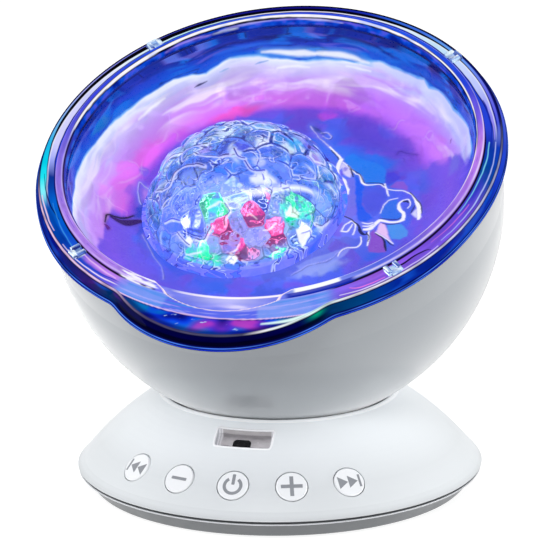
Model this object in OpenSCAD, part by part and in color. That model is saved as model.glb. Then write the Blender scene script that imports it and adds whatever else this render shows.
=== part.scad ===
// Ocean wave projector: a tilting bowl-shaped lamp head on a flared base.
// Millimetres, +Z up, the front (buttons) faces -Y, the origin is on the base's axis at table level.
// The head is drawn in its own frame (centre of the bowl's sphere, +z along the bowl's axis) and then tilted.

/* [Head] */
// Outer radius of the bowl's spherical part
bowl_r = 60; // [59.5:0.25:60]
// Wall thickness of the bowl
bowl_wall = 2.2; // [1.8:0.1:2.4]
// Height of the bowl's sphere centre above the table
head_z = 78; // [78:0.25:78.5]
// Tilt of the head towards the front in the stored pose, in degrees
head_tilt = 29; // [0:1:45]
// Height of the bowl's upright wall above the sphere centre
rim_h = 12.5; // [12.5:0.25:13]

/* [Clear cover] */
// Radius of the cover's top outer edge
cover_r = 61.15; // [61.15:0.05:61.5]
// Radius of the finger lip at the front of the cover
lip_r = 33.9; // [32:0.1:35]
// Distance of the finger lip's centre from the bowl's axis
lip_off = 34.6; // [33:0.1:35]
// Rise of the window at its centre above its edge
window_rise = 4.2; // [2.5:0.1:4.5]

/* [Wave lens drive] */
// Sideways offset of the lens axis from the bowl's axis
lens_off = -10; // [-10.5:0.5:-9]
// Backward offset of the lens axis from the bowl's axis
lens_back = 1.5; // [0.5:0.5:2]
// Number of teeth on the lens gear
lens_teeth = 48; // [48:2:48]
// Number of teeth on the motor pinion
pinion_teeth = 10; // [10:2:10]
// Gear module
gear_m = 1.2; // [1.2:0.05:1.2]

/* [Base] */
// Radius of the opening that the bowl sits in
open_r = 31.4; // [31.4:0.1:31.8]
// Height of the opening's edge above the table
open_z = 26.3; // [26:0.1:26.3]
// Largest radius of the base, at the parting line
base_r = 54.2; // [54:0.1:56]
// Height of the parting line
part_z = 6.1; // [6:0.05:6.2]
// Wall thickness of the base
base_wall = 2.2; // [1.8:0.1:2.4]

/* [Buttons] */
// Radius of a button
btn_r = 4.05; // [3.6:0.05:4.3]
// Gap around a button
btn_gap = 0.25; // [0.1:0.05:0.3]
// Angle between neighbouring buttons, in degrees
btn_pitch = 18.3; // [17.5:0.1:19.5]
// Height that a button stands above the base's surface
btn_proud = 0.15; // [0:0.05:0.4]

/* [Hidden] */
$fn = 64;

white = [0.93, 0.94, 0.95];
grey = [0.62, 0.62, 0.63];
blue_clear = [0.10, 0.20, 0.85, 0.6];
steel = [0.75, 0.76, 0.78];
black = [0.05, 0.05, 0.06];
pcb = [0.05, 0.30, 0.16];

pivot_a = 22.5;                 // the pivot tube leans this far to the front of the bowl's own bottom
bowl_in = bowl_r - bowl_wall;
draft = 0.096;                  // the bowl's wall flares by this much a millimetre up to the rim, so that it leaves its mould
sock_in = bowl_r + 0.4;         // running gap between bowl and socket
sock_out = sock_in + 2.5;
frame_top = -18.6;               // top of the inner frame, in the head's frame
gear_p = gear_m * lens_teeth / 2;
pin_p = gear_m * pinion_teeth / 2;
motor_x = lens_off + gear_p + pin_p;
boss_a = [90, 210, 330];        // inner frame bosses
screw_a = [-125, -65, 65, 125]; // base screws, from the front
foot_a = [-150, -35, 35, 150];  // rubber feet, from the front
dish_a = [45, 135, 225, 315];   // socket ears
clip_a = [45, 135, 225, 315];   // cover catches

// The base's outer profile: a shallow convex curve from the opening to the shoulder, then the shoulder's edge.
sh_r = 52.5; sh_z = 8.15; sag = 1.23; steps = 14;
slope_d = [sh_r - open_r, sh_z - open_z];
slope_n = [-slope_d[1], slope_d[0]] / norm(slope_d);
function slope(t, o = 0) = [open_r, open_z] + slope_d * t + slope_n * (sag * 4 * t * (1 - t) - o);
function base_out() = [for (i = [0 : steps]) slope(i / steps)];
function shoulder() = [[base_r - 0.5, part_z + 0.85], [base_r - 0.12, part_z + 0.42], [base_r + 0.1, part_z + 0.12], [base_r + 0.05, part_z]];
function base_in(o) = [for (i = [steps : -1 : 0]) slope(i / steps, o)];

// Where the buttons sit on that profile
btn_t = 0.745;
btn_c = slope(btn_t);
btn_dir = slope_d + slope_n * (4 * sag * (1 - 2 * btn_t));
btn_lean = atan2(-btn_dir[1], btn_dir[0]);

module head() { translate([0, 0, head_z]) rotate([head_tilt, 0, 0]) children(); }
module on_lens() { translate([lens_off, lens_back, 0]) children(); }
module on_motor() { translate([motor_x, lens_back, 0]) children(); }
module pivot() { rotate([-pivot_a, 0, 0]) children(); }
module around(angles, r) { for (a = angles) rotate([0, 0, a]) translate([0, -r, 0]) children(); }
module at_button(i) { rotate([0, 0, i * btn_pitch]) translate([0, -btn_c[0], btn_c[1]]) rotate([btn_lean, 0, 0]) children(); }
module ring(r1, r2, z1, z2) { translate([0, 0, z1]) difference() { cylinder(h = z2 - z1, r = r2); translate([0, 0, -1]) cylinder(h = z2 - z1 + 2, r = r1); } }
module bowl_solid(r) { sphere(r = r); translate([0, 0, -5]) cylinder(h = rim_h + 6, r1 = r - 5 * draft, r2 = r + (rim_h + 1) * draft); }
module screw(r, len, head_r, head_h) { cylinder(h = len, r = r); translate([0, 0, -head_h]) difference() { cylinder(h = head_h, r = head_r); for (a = [0, 90]) rotate([0, 0, a]) translate([-head_r * 0.55, -0.3, -1]) cube([head_r * 1.1, 0.6, 1.6]); } }

// ---------- head ----------

module bowl_shell() color(white) head() difference() {
    union() {
        difference() {
            bowl_solid(bowl_r);
            bowl_solid(bowl_in);
            translate([-100, -100, rim_h]) cube([200, 200, 100]);
        }
        // ledge for the reflector's flange
        ring(56.2, bowl_in + 1.6, 9.5, 11);
        // bosses for the inner frame, cut to the bowl's own curve
        intersection() {
            sphere(r = bowl_r - 1);
            for (a = boss_a) rotate([0, 0, a]) translate([46, 0, -40]) cylinder(h = 40 + frame_top - 2, r = 3.6);
        }
        // pad for the pivot tube
        intersection() { sphere(r = bowl_r - 1); pivot() translate([0, 0, -60]) cylinder(h = 5.5, r = 10); }
    }
    pivot() translate([0, 0, -62]) cylinder(h = 12, r = 4.05);
    for (a = boss_a) rotate([0, 0, a]) translate([46, 0, frame_top - 12]) cylinder(h = 14, r = 1.05);
}

function cover_outer(d) = [[cover_r + 2.3 - d, rim_h], [cover_r + 2.3 - d, rim_h + 0.8], [cover_r + 1.75 - d, rim_h + 1.1],
                           [cover_r + 0.2 - d, rim_h + 3.1], [cover_r - 0.25 - d, rim_h + 3.5]];
function window_top(r) = 16 + window_rise * (1 - pow(r / 54.1, 2));
function window_low(r) = 14.2 + window_rise * (1 - pow(r / 52.6, 2));

module clear_cover() color(blue_clear) head() difference() {
    union() {
        rotate_extrude() polygon(concat(
            cover_outer(0),
            [[56.7, 16.2], [56.4, 17.2], [56, 17.5], [54.9, 17.5], [54.45, 17.2]],
            [for (i = [0 : 9]) [54.1 * (1 - i / 9), window_top(54.1 * (1 - i / 9))]],
            [for (i = [0 : 9]) [52.6 * i / 9, window_low(52.6 * i / 9)]],
            [[57.2, 14.2], [57.2, 12.35], [58.5, 12.35], [58.5, 14.2], [59.2, 14.2], [59.2, rim_h]]));
        // finger lip, open underneath
        difference() {
            translate([0, -lip_off, 0]) rotate_extrude() polygon(concat(
                cover_outer(cover_r - lip_r), [[0, 16], [0, 14.2], [lip_r - 2, 14.2], [lip_r - 0.4, rim_h]]));
            translate([0, 0, 5]) cylinder(h = 20, r = 59.6);
        }
    }
    // slots for the catches
    for (a = clip_a) rotate([0, 0, a]) translate([57.2, -2.5, rim_h - 0.5]) cube([3.2, 5, 6]);
    // pocket across the front of the ridge
    difference() {
        translate([0, -35.3, 15.5]) cylinder(h = 10, r = 24.3);
        translate([0, 0, 10]) cylinder(h = 20, r = 53.9);
    }
}

// Catches that hold the cover: each stands on the bowl's rim, in a slot through the cover's shelf.
module cover_clips() color([0.85, 0.9, 0.98]) head() for (a = clip_a) rotate([0, 0, a]) difference() {
    translate([57.3, -2.4, rim_h + 0.05]) cube([3, 4.8, 3.8]);
    translate([57, -0.9, rim_h + 1.8]) cube([2, 1.8, 4]);
}

dish_b = 17.2;
function dish(u, o) = [30 + (24.2 + o) * sin(u), 12.2 - (dish_b + o) * cos(u)];
module reflector_liner() color([0.75, 0.72, 0.95]) head() difference() {
    rotate_extrude() polygon(concat(
        [[20, -5 - 1.2], [30, -5 - 1.2]],
        [for (i = [1 : 11]) dish(90 * i / 12, 1.2)],
        [[55.4, 11], [58.4, 11], [58.4, 12.2]],
        [for (i = [12 : -1 : 0]) dish(90 * i / 12, 0)],
        [[20, -5]]));
    on_lens() translate([0, 0, -20]) cylinder(h = 30, r = skirt_r + 1.4);
}

module inner_frame() color(white) head() difference() {
    union() {
        translate([0, 0, frame_top - 2]) cylinder(h = 2, r = 52.4);
        on_lens() ring(22, 24.32, frame_top - 1, -5);
        on_lens() for (a = [60, 180, 300]) rotate([0, 0, a]) translate([19.6, 0, frame_top - 1]) cylinder(h = 2, r = 1.8);
    }
    for (a = boss_a) rotate([0, 0, a]) translate([46, 0, frame_top - 5]) cylinder(h = 10, r = 1.4);
    on_motor() translate([0, 0, frame_top - 5]) cylinder(h = 10, r = 2.4);
    on_motor() for (s = [-1, 1]) translate([0, 15 * s, frame_top - 5]) cylinder(h = 10, r = 0.85);
    translate([-38, -14, frame_top - 5]) cylinder(h = 10, r = 4);
    on_lens() translate([0, 0, frame_top - 5]) cylinder(h = 10, r = 3);
}

module frame_screws() color(steel) head() for (a = boss_a) rotate([0, 0, a]) translate([46, 0, frame_top]) mirror([0, 0, 1]) screw(1, 9, 2.2, 1.4);

module led_board() color([0.92, 0.93, 0.95]) head() on_lens() difference() {
    translate([0, 0, frame_top + 1]) cylinder(h = 1.6, r = 21.7);
    translate([0, 0, frame_top - 2]) cylinder(h = 6, r = 2);
    translate([8, -17.5, frame_top - 2]) cylinder(h = 6, r = 1.6);
}
led_z = frame_top + 2.6;
module led() { cylinder(h = 1, r = 2.9); cylinder(h = 3.2, r = 2.5); translate([0, 0, 3.2]) difference() { sphere(r = 2.5); translate([-4, -4, -8]) cube([8, 8, 8]); } }
module led_set(n, r, a0) { head() on_lens() for (i = [0 : n - 1]) rotate([0, 0, a0 + i * 360 / n]) translate([r, 0, led_z]) led(); }
module leds_red() color([0.95, 0.15, 0.3]) led_set(4, 7.5, 0);
module leds_green() color([0.1, 0.9, 0.6]) led_set(4, 14.7, 45);
module leds_white() color([0.95, 0.97, 1]) led_set(4, 16.2, 0);

module lens_motor() color(steel) head() on_motor() difference() {
    union() {
        translate([0, 0, frame_top - 17]) cylinder(h = 15, r = 12);
        translate([0, 0, frame_top - 17]) translate([0, 0, -1.5]) cylinder(h = 2, r = 4);
        for (s = [-1, 1]) translate([-3, s > 0 ? 10 : -18, frame_top - 3.2]) cube([6, 8, 1.2]);
    }
    for (s = [-1, 1]) translate([0, 15 * s, frame_top - 6]) cylinder(h = 6, r = 1.1);
    translate([0, 0, frame_top - 9]) cylinder(h = 10, r = 1.55);
}
module motor_screws() color(steel) head() on_motor() for (s = [-1, 1]) translate([0, 15 * s, frame_top - 3.2]) screw(0.8, 3, 1.8, 1.2);
module thrust_washer() color([0.85, 0.83, 0.75]) head() on_lens() ring(24.6, 25.6, frame_top, frame_top + 0.5);

module pivot_tube() color([0.8, 0.66, 0.35]) head() pivot() difference() {
    union() { translate([0, 0, -70.6]) cylinder(h = 17, r = 4); translate([0, 0, -54.5]) cylinder(h = 2, r = 8); }
    translate([0, 0, -72]) cylinder(h = 24, r = 2.4);
}
module friction_shoe() color([0.2, 0.2, 0.22]) head() pivot() difference() {
    translate([-11, -6, -65.6]) cube([22, 12, 4]);
    rotate([90, 0, 0]) sphere(r = sock_out + 0.25, $fn = 240);
    translate([0, 0, -70]) cylinder(h = 12, r = 4.03);
}
module wave_washer() color(steel) head() pivot() ring(4.03, 7.2, -66.4, -65.6);
module pivot_nut() color([0.8, 0.66, 0.35]) head() pivot() difference() {
    translate([0, 0, -69.6]) cylinder(h = 3.2, r = 6.9, $fn = 6);
    translate([0, 0, -72]) cylinder(h = 8, r = 4.02);
}

// ---------- wave lens and its drive ----------

cap_h = 18.3; cap_base = -2; skirt_r = 26.2; skirt_in = skirt_r - 1.8;
cap_r = (skirt_r * skirt_r + cap_h * cap_h) / (2 * cap_h);
module lens_dome() color([0.75, 0.85, 1, 0.5]) head() on_lens() union() {
    ring(skirt_in, skirt_r, frame_top + 5, cap_base);
    difference() {
        intersection() {
            translate([0, 0, cap_base + cap_h - cap_r]) sphere(r = cap_r);
            translate([0, 0, cap_base]) cylinder(h = 30, r = 40);
        }
        intersection() {
            translate([0, 0, cap_base + cap_h - cap_r]) sphere(r = cap_r - 1.8);
            translate([0, 0, cap_base - 1]) cylinder(h = 30, r = skirt_in);
        }
    }
}

// Involute tooth flanks; slack thins each tooth so that the pair runs freely.
function inv(r, rb) = r <= rb ? 0 : sqrt(r * r / rb / rb - 1) * 180 / PI - acos(rb / r);
function half_at(r, rp, rb, slack) = 90 * gear_m * PI / 2 / (PI * rp) - slack / rp * 90 / PI + inv(rp, rb) - inv(r, rb);
function gear_pts(n, add, ded, slack) = let (rp = gear_m * n / 2, rb = rp * cos(20), ra = rp + add, rf = rp - ded, rs = [max(rb, rf + 0.1), (max(rb, rf + 0.1) + rp) / 2, rp, (rp + ra) / 2, ra])
    [for (i = [0 : n - 1]) let (c = 360 * i / n) each concat(
        [[rf * cos(c - half_at(rs[0], rp, rb, slack) - 1), rf * sin(c - half_at(rs[0], rp, rb, slack) - 1)]],
        [for (r = rs) [r * cos(c - half_at(r, rp, rb, slack)), r * sin(c - half_at(r, rp, rb, slack))]],
        [for (k = [4 : -1 : 0]) [rs[k] * cos(c + half_at(rs[k], rp, rb, slack)), rs[k] * sin(c + half_at(rs[k], rp, rb, slack))]],
        [[rf * cos(c + half_at(rs[0], rp, rb, slack) + 1), rf * sin(c + half_at(rs[0], rp, rb, slack) + 1)]])];

module lens_gear() color(white) head() on_lens() difference() {
    translate([0, 0, frame_top + 0.6]) rotate([0, 0, 180 / lens_teeth]) linear_extrude(height = 4.4) polygon(gear_pts(lens_teeth, 0.9, 1.35, 0.4));
    translate([0, 0, frame_top - 5]) cylinder(h = 20, r = skirt_in);
}
module motor_pinion() color([0.9, 0.88, 0.8]) head() on_motor() difference() {
    translate([0, 0, frame_top + 0.8]) linear_extrude(height = 4) polygon(gear_pts(pinion_teeth, 1.05, 1.35, 0.4));
    translate([0, 0, frame_top - 5]) cylinder(h = 20, r = 1.5);
}
module motor_shaft() color(steel) head() on_motor() translate([0, 0, frame_top - 7.5]) cylinder(h = 12.2, r = 1.5);

// ---------- base ----------

module base_skin(o1, o2) rotate_extrude() polygon(concat([for (i = [0 : steps]) slope(i / steps, o1)], [for (i = [steps : -1 : 0]) slope(i / steps, o2)]));
module base_shape() rotate_extrude() polygon(concat([[0, open_z]], base_out(), shoulder(), [[base_r - 3.4, part_z], [base_r - 3.4, part_z - 0.3], [0, part_z - 0.3]]));
module window_cut(g) intersection() {
    ring(34.5 + g, 39.2 - g, 10, 30);
    translate([-7.5 + g, -45, 5]) cube([15 - 2 * g, 45, 30]);
}

module base_upper() color(white) difference() {
    union() {
        rotate_extrude() polygon(concat(base_out(), shoulder(), [[base_r - 2, part_z], [base_r - 2.4, part_z + 1.1]],
            [for (i = [steps : -1 : 0]) let (p = slope(i / steps, base_wall)) [max(p[0], open_r), p[0] < open_r ? open_z - 2.9 : p[1]]]));
        intersection() {
            base_shape();
            union() {
                // pocket for the rear sockets
                difference() {
                    translate([-20.5, 39.5, part_z - 0.3]) cube([41, 20, 11.6]);
                    translate([-19, 41, 7]) cube([38, 30, 9]);
                }
                around(screw_a, 44) cylinder(h = 15.5, r = 3);
                around(dish_a, 34.5) translate([0, 0, 19.3]) cylinder(h = 4, r = 2.6);
            }
        }
    }
    translate([-19, 41, 7]) cube([38, 30, 9]);
    for (i = [-2 : 2]) at_button(i) translate([0, 0, -6]) cylinder(h = 12, r = btn_r + btn_gap);
    window_cut(0);
    around(screw_a, 44) cylinder(h = 10.5, r = 1.05);
    around(dish_a, 34.5) translate([0, 0, 19]) cylinder(h = 2.8, r = 0.85);
    // openings for the rear sockets
    translate([13, 35, 11.4]) rotate([-90, 0, 0]) cylinder(h = 10, r = 3.1);
    translate([-16.3, 38, 7.5]) cube([9.2, 6, 3.4]);
    translate([-6.2, 38, 7.9]) cube([12.4, 6, 1.5]);
}

module socket_dish() color([0.85, 0.86, 0.87]) difference() {
    union() {
        translate([0, 0, head_z]) intersection() {
            sphere(r = sock_out);
            translate([0, 0, -70]) cylinder(h = 40, r = open_r - 0.2);
        }
        around(dish_a, 0) {
            translate([-4, -31, 17.4]) cube([8, 5, 6.4]);
            translate([-4, -36.6, 17.4]) cube([8, 8, 1.8]);
        }
    }
    translate([0, 0, head_z]) sphere(r = sock_in);
    translate([-4.7, -28.3, 0]) cube([9.4, 56.6, 40]);
    around(dish_a, 34.5) translate([0, 0, 15]) cylinder(h = 10, r = 1.1);
}
module socket_screws() color(steel) around(dish_a, 34.5) translate([0, 0, 17.4]) screw(0.8, 3.4, 1.8, 1.2);

spk = [-27, -6];
board_pts = [[-17.6, 23], [17.6, 23], [-18.2, 33.4], [18.2, 33.4]];
module base_lower() color(grey) difference() {
    union() {
        rotate_extrude() polygon([[0, 1], [49.9, 1], [50.35, 1.4], [base_r - 0.75, part_z - 1], [base_r - 0.4, part_z - 0.85], [base_r - 0.4, part_z - 0.68], [base_r - 1.1, part_z - 0.6], [base_r - 1.15, part_z - 0.15], [base_r - 2.6, part_z - 0.15], [48.6, 3], [0, 3]]);
        for (p = board_pts) translate([p[0], p[1], 2.5]) cylinder(h = 3.5, r = 2.4);
        translate([spk[0], spk[1], 0]) ring(16.3, 17.4, 2.5, 5);
    }
    around(screw_a, 44) { cylinder(h = 10, r = 1.3); cylinder(h = 1.9, r = 2.6); }
    around(foot_a, 42) cylinder(h = 1.8, r = 5.1);
    for (p = board_pts) translate([p[0], p[1], 2]) cylinder(h = 5, r = 0.85);
    translate([spk[0], spk[1], 0]) {
        cylinder(h = 5, r = 0.9);
        for (a = [0 : 60 : 300]) rotate([0, 0, a]) translate([4, 0, 0]) cylinder(h = 5, r = 0.9);
        for (a = [0 : 30 : 330]) rotate([0, 0, a + 15]) translate([8.2, 0, 0]) cylinder(h = 5, r = 0.9);
    }
}
module base_screws() color(steel) around(screw_a, 44) translate([0, 0, 1.9]) screw(1, 8, 2.4, 0.8);
module rubber_feet() color([0.12, 0.12, 0.13]) around(foot_a, 42) union() { cylinder(h = 0.5, r1 = 4.6, r2 = 5); translate([0, 0, 0.5]) cylinder(h = 1.3, r = 5); }

module main_board() color(pcb) difference() {
    translate([-20, 20, 6]) cube([40, 19.3, 1.6]);
    for (p = board_pts) translate([p[0], p[1], 0]) cylinder(h = 10, r = 1.2);
}
module board_screws() color(steel) for (p = board_pts) translate([p[0], p[1], 7.6]) mirror([0, 0, 1]) screw(0.8, 4, 1.8, 1.2);
module board_chips() color(black) {
    translate([9.6, 21, 7.6]) cube([5, 5, 1.2]);
    translate([-13.6, 22, 7.6]) cube([5, 6, 1]);
    translate([-17, 28.4, 7.6]) cylinder(h = 4.5, r = 2);
    translate([18.2, 28.6, 7.6]) cylinder(h = 4.5, r = 1.6);
}
module usb_socket() color(steel) difference() {
    translate([-16.2, 31.5, 7.6]) cube([9, 8.6, 3.2]);
    translate([-15.7, 33, 8.1]) cube([8, 10, 2.2]);
}
module aux_jack() color(black) difference() {
    union() {
        translate([9.8, 27.3, 7.6]) cube([6.4, 12, 7.2]);
        translate([13, 39, 11.4]) rotate([-90, 0, 0]) cylinder(h = 2, r = 3);
    }
    translate([13, 28.5, 11.4]) rotate([-90, 0, 0]) cylinder(h = 20, r = 1.8);
}
module card_slot() color(steel) difference() {
    translate([-7, 25, 7.6]) cube([14, 14.3, 2]);
    translate([-6, 26.5, 8.1]) cube([12, 20, 1.1]);
}

module speaker_basket() color([0.25, 0.25, 0.27]) translate([spk[0], spk[1], 0]) rotate_extrude() polygon([[13.4, 3.1], [16, 3.1], [16, 4.3], [14.6, 4.3], [9.6, 9], [3.2, 9], [3.2, 8.2], [9.2, 8.2], [13.4, 4.2]]);
module speaker_magnet() color(steel) translate([spk[0], spk[1], 0]) union() { ring(3.4, 9, 9.05, 12); translate([0, 0, 12]) cylinder(h = 1.2, r = 8.6); translate([0, 0, 7.2]) cylinder(h = 4.8, r = 2.6); }
module speaker_cone() color(black) translate([spk[0], spk[1], 0]) rotate_extrude() polygon([[0, 6.3], [3.9, 5.9], [4.4, 6.6], [11.6, 3.9], [12.4, 4.2], [13.2, 3.5], [13.2, 4], [12.4, 4.7], [11.6, 4.4], [4.4, 7.1], [3.1, 7.1], [3.1, 6.7], [0, 6.9]]);

module button(i) {
    at_button(i) {
        translate([0, 0, -3.2]) cylinder(h = 3.2 + btn_proud - 0.3, r = btn_r);
        translate([0, 0, btn_proud - 0.3]) cylinder(h = 0.3, r1 = btn_r, r2 = btn_r - 0.25);
        translate([0, 0, -3.8]) cylinder(h = 0.7, r = btn_r + 0.9);
        translate([0, 0, -5.4]) cylinder(h = 2, r = 1.5);
    }
}
module button_previous() color(white) button(-2);
module button_volume_down() color(white) button(-1);
module button_power() color(white) button(0);
module button_volume_up() color(white) button(1);
module button_next() color(white) button(2);

module key_switches() color(black) for (i = [-2 : 2]) at_button(i) { translate([-3, -3, -9.1]) cube([6, 6, 2.6]); translate([0, 0, -6.6]) cylinder(h = 0.6, r = 1.7); }
function key_pt(d, s) = [btn_c[0] - sin(btn_lean) * d + cos(btn_lean) * s, btn_c[1] - cos(btn_lean) * d - sin(btn_lean) * s];
module key_bracket() color(white) union() {
    rotate([0, 0, -90 - 2.6 * btn_pitch]) rotate_extrude(angle = 5.2 * btn_pitch) polygon([key_pt(9.2, -3.3), key_pt(9.2, 3.3), key_pt(10.7, 3.3), key_pt(10.7, -3.3)]);
    for (s = [-1, 1]) rotate([0, 0, s * 2.45 * btn_pitch]) translate([-1.6, -41.4, 3.05]) cube([3.2, 2.6, 3]);
}

module ir_window() color([0.6, 0.6, 0.64, 0.6]) intersection() { base_skin(0.1, 1.1); window_cut(0.1); }
module ir_pocket() color([0.7, 0.7, 0.72]) difference() {
    translate([-9, -40.3, 12.6]) cube([18, 7, 12]);
    translate([-7.9, -39.3, 13.6]) cube([15.8, 5, 14]);
    base_skin(-6, base_wall + 0.1);
    rotate_extrude() polygon(concat([for (i = [0 : steps]) slope(i / steps, 2)], [[70, 8], [70, 60], [open_r, 60]]));
}
// The receiver stands behind the lower half of its window, its face parallel to it
rx_t = 0.285;
rx_c = slope(rx_t);
rx_dir = slope_d + slope_n * (4 * sag * (1 - 2 * rx_t));
rx_lean = atan2(-rx_dir[1], rx_dir[0]);
module ir_receiver() color(black) {
    translate([-0.5, -rx_c[0], rx_c[1]]) rotate([rx_lean, 0, 0]) translate([0, 0, -3.1]) {
        translate([-2.4, -1.1, 0]) cube([4.8, 2.1, 1.6]);
        translate([-1.3, 0, 0]) cube([2.6, 2.1, 1.6]);
        for (x = [-1.3, 1.3]) translate([x, 1, 0]) cylinder(h = 1.6, r = 1.1);
        translate([1.2, 0.7, 1.25]) intersection() { sphere(r = 0.75); translate([-1, -1, 0]) cube([2, 2, 0.6]); }
    }
    translate([-2.2, -36.9, 13.65]) cube([3.4, 1.6, 6.5]);
}

bowl_shell();
clear_cover();
cover_clips();
reflector_liner();
inner_frame();
frame_screws();
led_board();
leds_red();
leds_green();
leds_white();
lens_motor();
motor_screws();
thrust_washer();
pivot_tube();
friction_shoe();
wave_washer();
pivot_nut();
lens_dome();
lens_gear();
motor_pinion();
motor_shaft();
base_upper();
socket_dish();
socket_screws();
base_lower();
base_screws();
rubber_feet();
main_board();
board_chips();
board_screws();
usb_socket();
aux_jack();
card_slot();
speaker_basket();
speaker_magnet();
speaker_cone();
key_bracket();
key_switches();
ir_window();
ir_pocket();
ir_receiver();
button_previous();
button_volume_down();
button_power();
button_volume_up();
button_next();
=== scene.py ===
import math

import bpy
import numpy as np
from mathutils import Matrix, Vector


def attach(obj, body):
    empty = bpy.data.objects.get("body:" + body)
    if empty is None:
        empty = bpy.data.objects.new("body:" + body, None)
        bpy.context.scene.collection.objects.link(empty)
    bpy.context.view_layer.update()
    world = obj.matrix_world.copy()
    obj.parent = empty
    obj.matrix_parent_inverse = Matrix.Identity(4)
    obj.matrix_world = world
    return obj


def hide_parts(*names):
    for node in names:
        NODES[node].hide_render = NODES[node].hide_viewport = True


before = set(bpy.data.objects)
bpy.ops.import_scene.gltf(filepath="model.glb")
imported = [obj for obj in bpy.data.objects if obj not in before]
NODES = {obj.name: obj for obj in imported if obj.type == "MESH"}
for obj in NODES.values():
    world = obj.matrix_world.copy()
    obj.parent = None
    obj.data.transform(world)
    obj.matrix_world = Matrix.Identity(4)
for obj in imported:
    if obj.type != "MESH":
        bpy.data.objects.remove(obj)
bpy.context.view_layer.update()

scene = bpy.context.scene
MM = 0.001
HEAD = Matrix.Translation((0, 0, 78 * MM)) @ Matrix.Rotation(math.radians(29), 4, "X")


# ---------------------------------------------------------------- numbers
def lin(r, g, b):
    """Screen colour (0-255) to linear light."""
    v = np.array([r, g, b], float) / 255
    return np.where(v <= 0.04045, v / 12.92, ((v + 0.055) / 1.055) ** 2.4)


def smooth(a, b, x):
    t = np.clip((x - a) / (b - a), 0, 1)
    return t * t * (3 - 2 * t)


def band(x, centre, half, soft):
    """1 within half of centre, falling to 0 over soft."""
    return 1 - smooth(half, half + soft, np.abs(x - centre))


def mixc(a, b, w):
    return a + (b - a) * np.asarray(w)[..., None]


def ramp(x, stops):
    """Colours along x from (place, (r, g, b)) stops, in linear light."""
    xs = [s[0] for s in stops]
    cols = np.array([lin(*s[1]) for s in stops])
    return np.stack([np.interp(x, xs, cols[:, k]) for k in range(3)], -1)


def _hash(ix, iy, iz):
    with np.errstate(over="ignore"):
        n = (ix.astype(np.uint32) * np.uint32(73856093)) ^ (iy.astype(np.uint32) * np.uint32(19349663)) ^ (iz.astype(np.uint32) * np.uint32(83492791))
        n = (n ^ (n >> np.uint32(15))) * np.uint32(2246822519)
        n = (n ^ (n >> np.uint32(13))) * np.uint32(3266489917)
        return n ^ (n >> np.uint32(16))


def perlin(p):
    """Gradient noise of points (..., 3), about -1 to 1."""
    p = np.asarray(p, float)
    i = np.floor(p).astype(np.int64)
    f = p - i
    u = f * f * f * (f * (f * 6 - 15) + 10)
    out = 0
    for dx in (0, 1):
        for dy in (0, 1):
            for dz in (0, 1):
                h = _hash(i[..., 0] + dx, i[..., 1] + dy, i[..., 2] + dz)
                a = (h & np.uint32(1023)) * (2 * np.pi / 1024)
                c = ((h >> np.uint32(10)) & np.uint32(1023)) / 511.5 - 1
                s = np.sqrt(np.maximum(0, 1 - c * c))
                dot = (f[..., 0] - dx) * s * np.cos(a) + (f[..., 1] - dy) * s * np.sin(a) + (f[..., 2] - dz) * c
                w = (u[..., 0] if dx else 1 - u[..., 0]) * (u[..., 1] if dy else 1 - u[..., 1]) * (u[..., 2] if dz else 1 - u[..., 2])
                out = out + w * dot
    return out * 1.6


def fbm(p, octaves=3):
    out, amp = 0, 1.0
    for k in range(octaves):
        out = out + amp * perlin(np.asarray(p) * 2.0 ** k + 17.3 * k)
        amp *= 0.5
    return out


def cells(p, size):
    """Nearest two distances to jittered seeds, and a random number of the nearest cell."""
    q = np.asarray(p, float) / size
    i = np.floor(q).astype(np.int64)
    d1 = np.full(q.shape[:-1], 9.0)
    d2 = np.full(q.shape[:-1], 9.0)
    who = np.zeros(q.shape[:-1])
    for dx in (-1, 0, 1):
        for dy in (-1, 0, 1):
            for dz in (-1, 0, 1):
                j = i + np.array([dx, dy, dz])
                h = _hash(j[..., 0], j[..., 1], j[..., 2])
                s = np.stack([(h & np.uint32(1023)) / 1023.0, ((h >> np.uint32(10)) & np.uint32(1023)) / 1023.0, ((h >> np.uint32(20)) & np.uint32(1023)) / 1023.0], -1)
                d = np.linalg.norm(j + s - q, axis=-1)
                near = d < d1
                d2 = np.where(near, d1, np.minimum(d2, d))
                who = np.where(near, (h & np.uint32(65535)) / 65535.0, who)
                d1 = np.where(near, d, d1)
    return d1 * size, d2 * size, who


def curve(pts, n=6):
    """Smooth line through points."""
    p = np.array([pts[0]] + list(pts) + [pts[-1]], float)
    t = np.arange(n)[:, None] / n
    out = []
    for a, b, c, d in zip(p[:-3], p[1:-2], p[2:-1], p[3:]):
        out.append(0.5 * (2 * b + (c - a) * t + (2 * a - 5 * b + 4 * c - d) * t ** 2 + (3 * b - a - 3 * c + d) * t ** 3))
    return np.vstack(out + [p[-1:]])


def stroke(x, y, pts, soft=0.25):
    """How far points are covered, 0 to 1, by a smooth stroke through (x, y, width)."""
    q = curve(pts)
    wide = q[:, 2].max() + 1
    near = (x > q[:, 0].min() - wide) & (x < q[:, 0].max() + wide) & (y > q[:, 1].min() - wide) & (y < q[:, 1].max() + wide)
    X, Y = x[near], y[near]
    best = np.zeros(X.shape)
    for a, b in zip(q[:-1], q[1:]):
        d = b[:2] - a[:2]
        s = np.clip(((X - a[0]) * d[0] + (Y - a[1]) * d[1]) / max(float(d @ d), 1e-9), 0, 1)
        w = np.maximum(a[2] + (b[2] - a[2]) * s, 0) / 2
        best = np.maximum(best, smooth(w + soft, w - soft, np.hypot(X - a[0] - s * d[0], Y - a[1] - s * d[1])))
    cov = np.zeros(x.shape)
    cov[near] = best
    return cov


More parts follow.
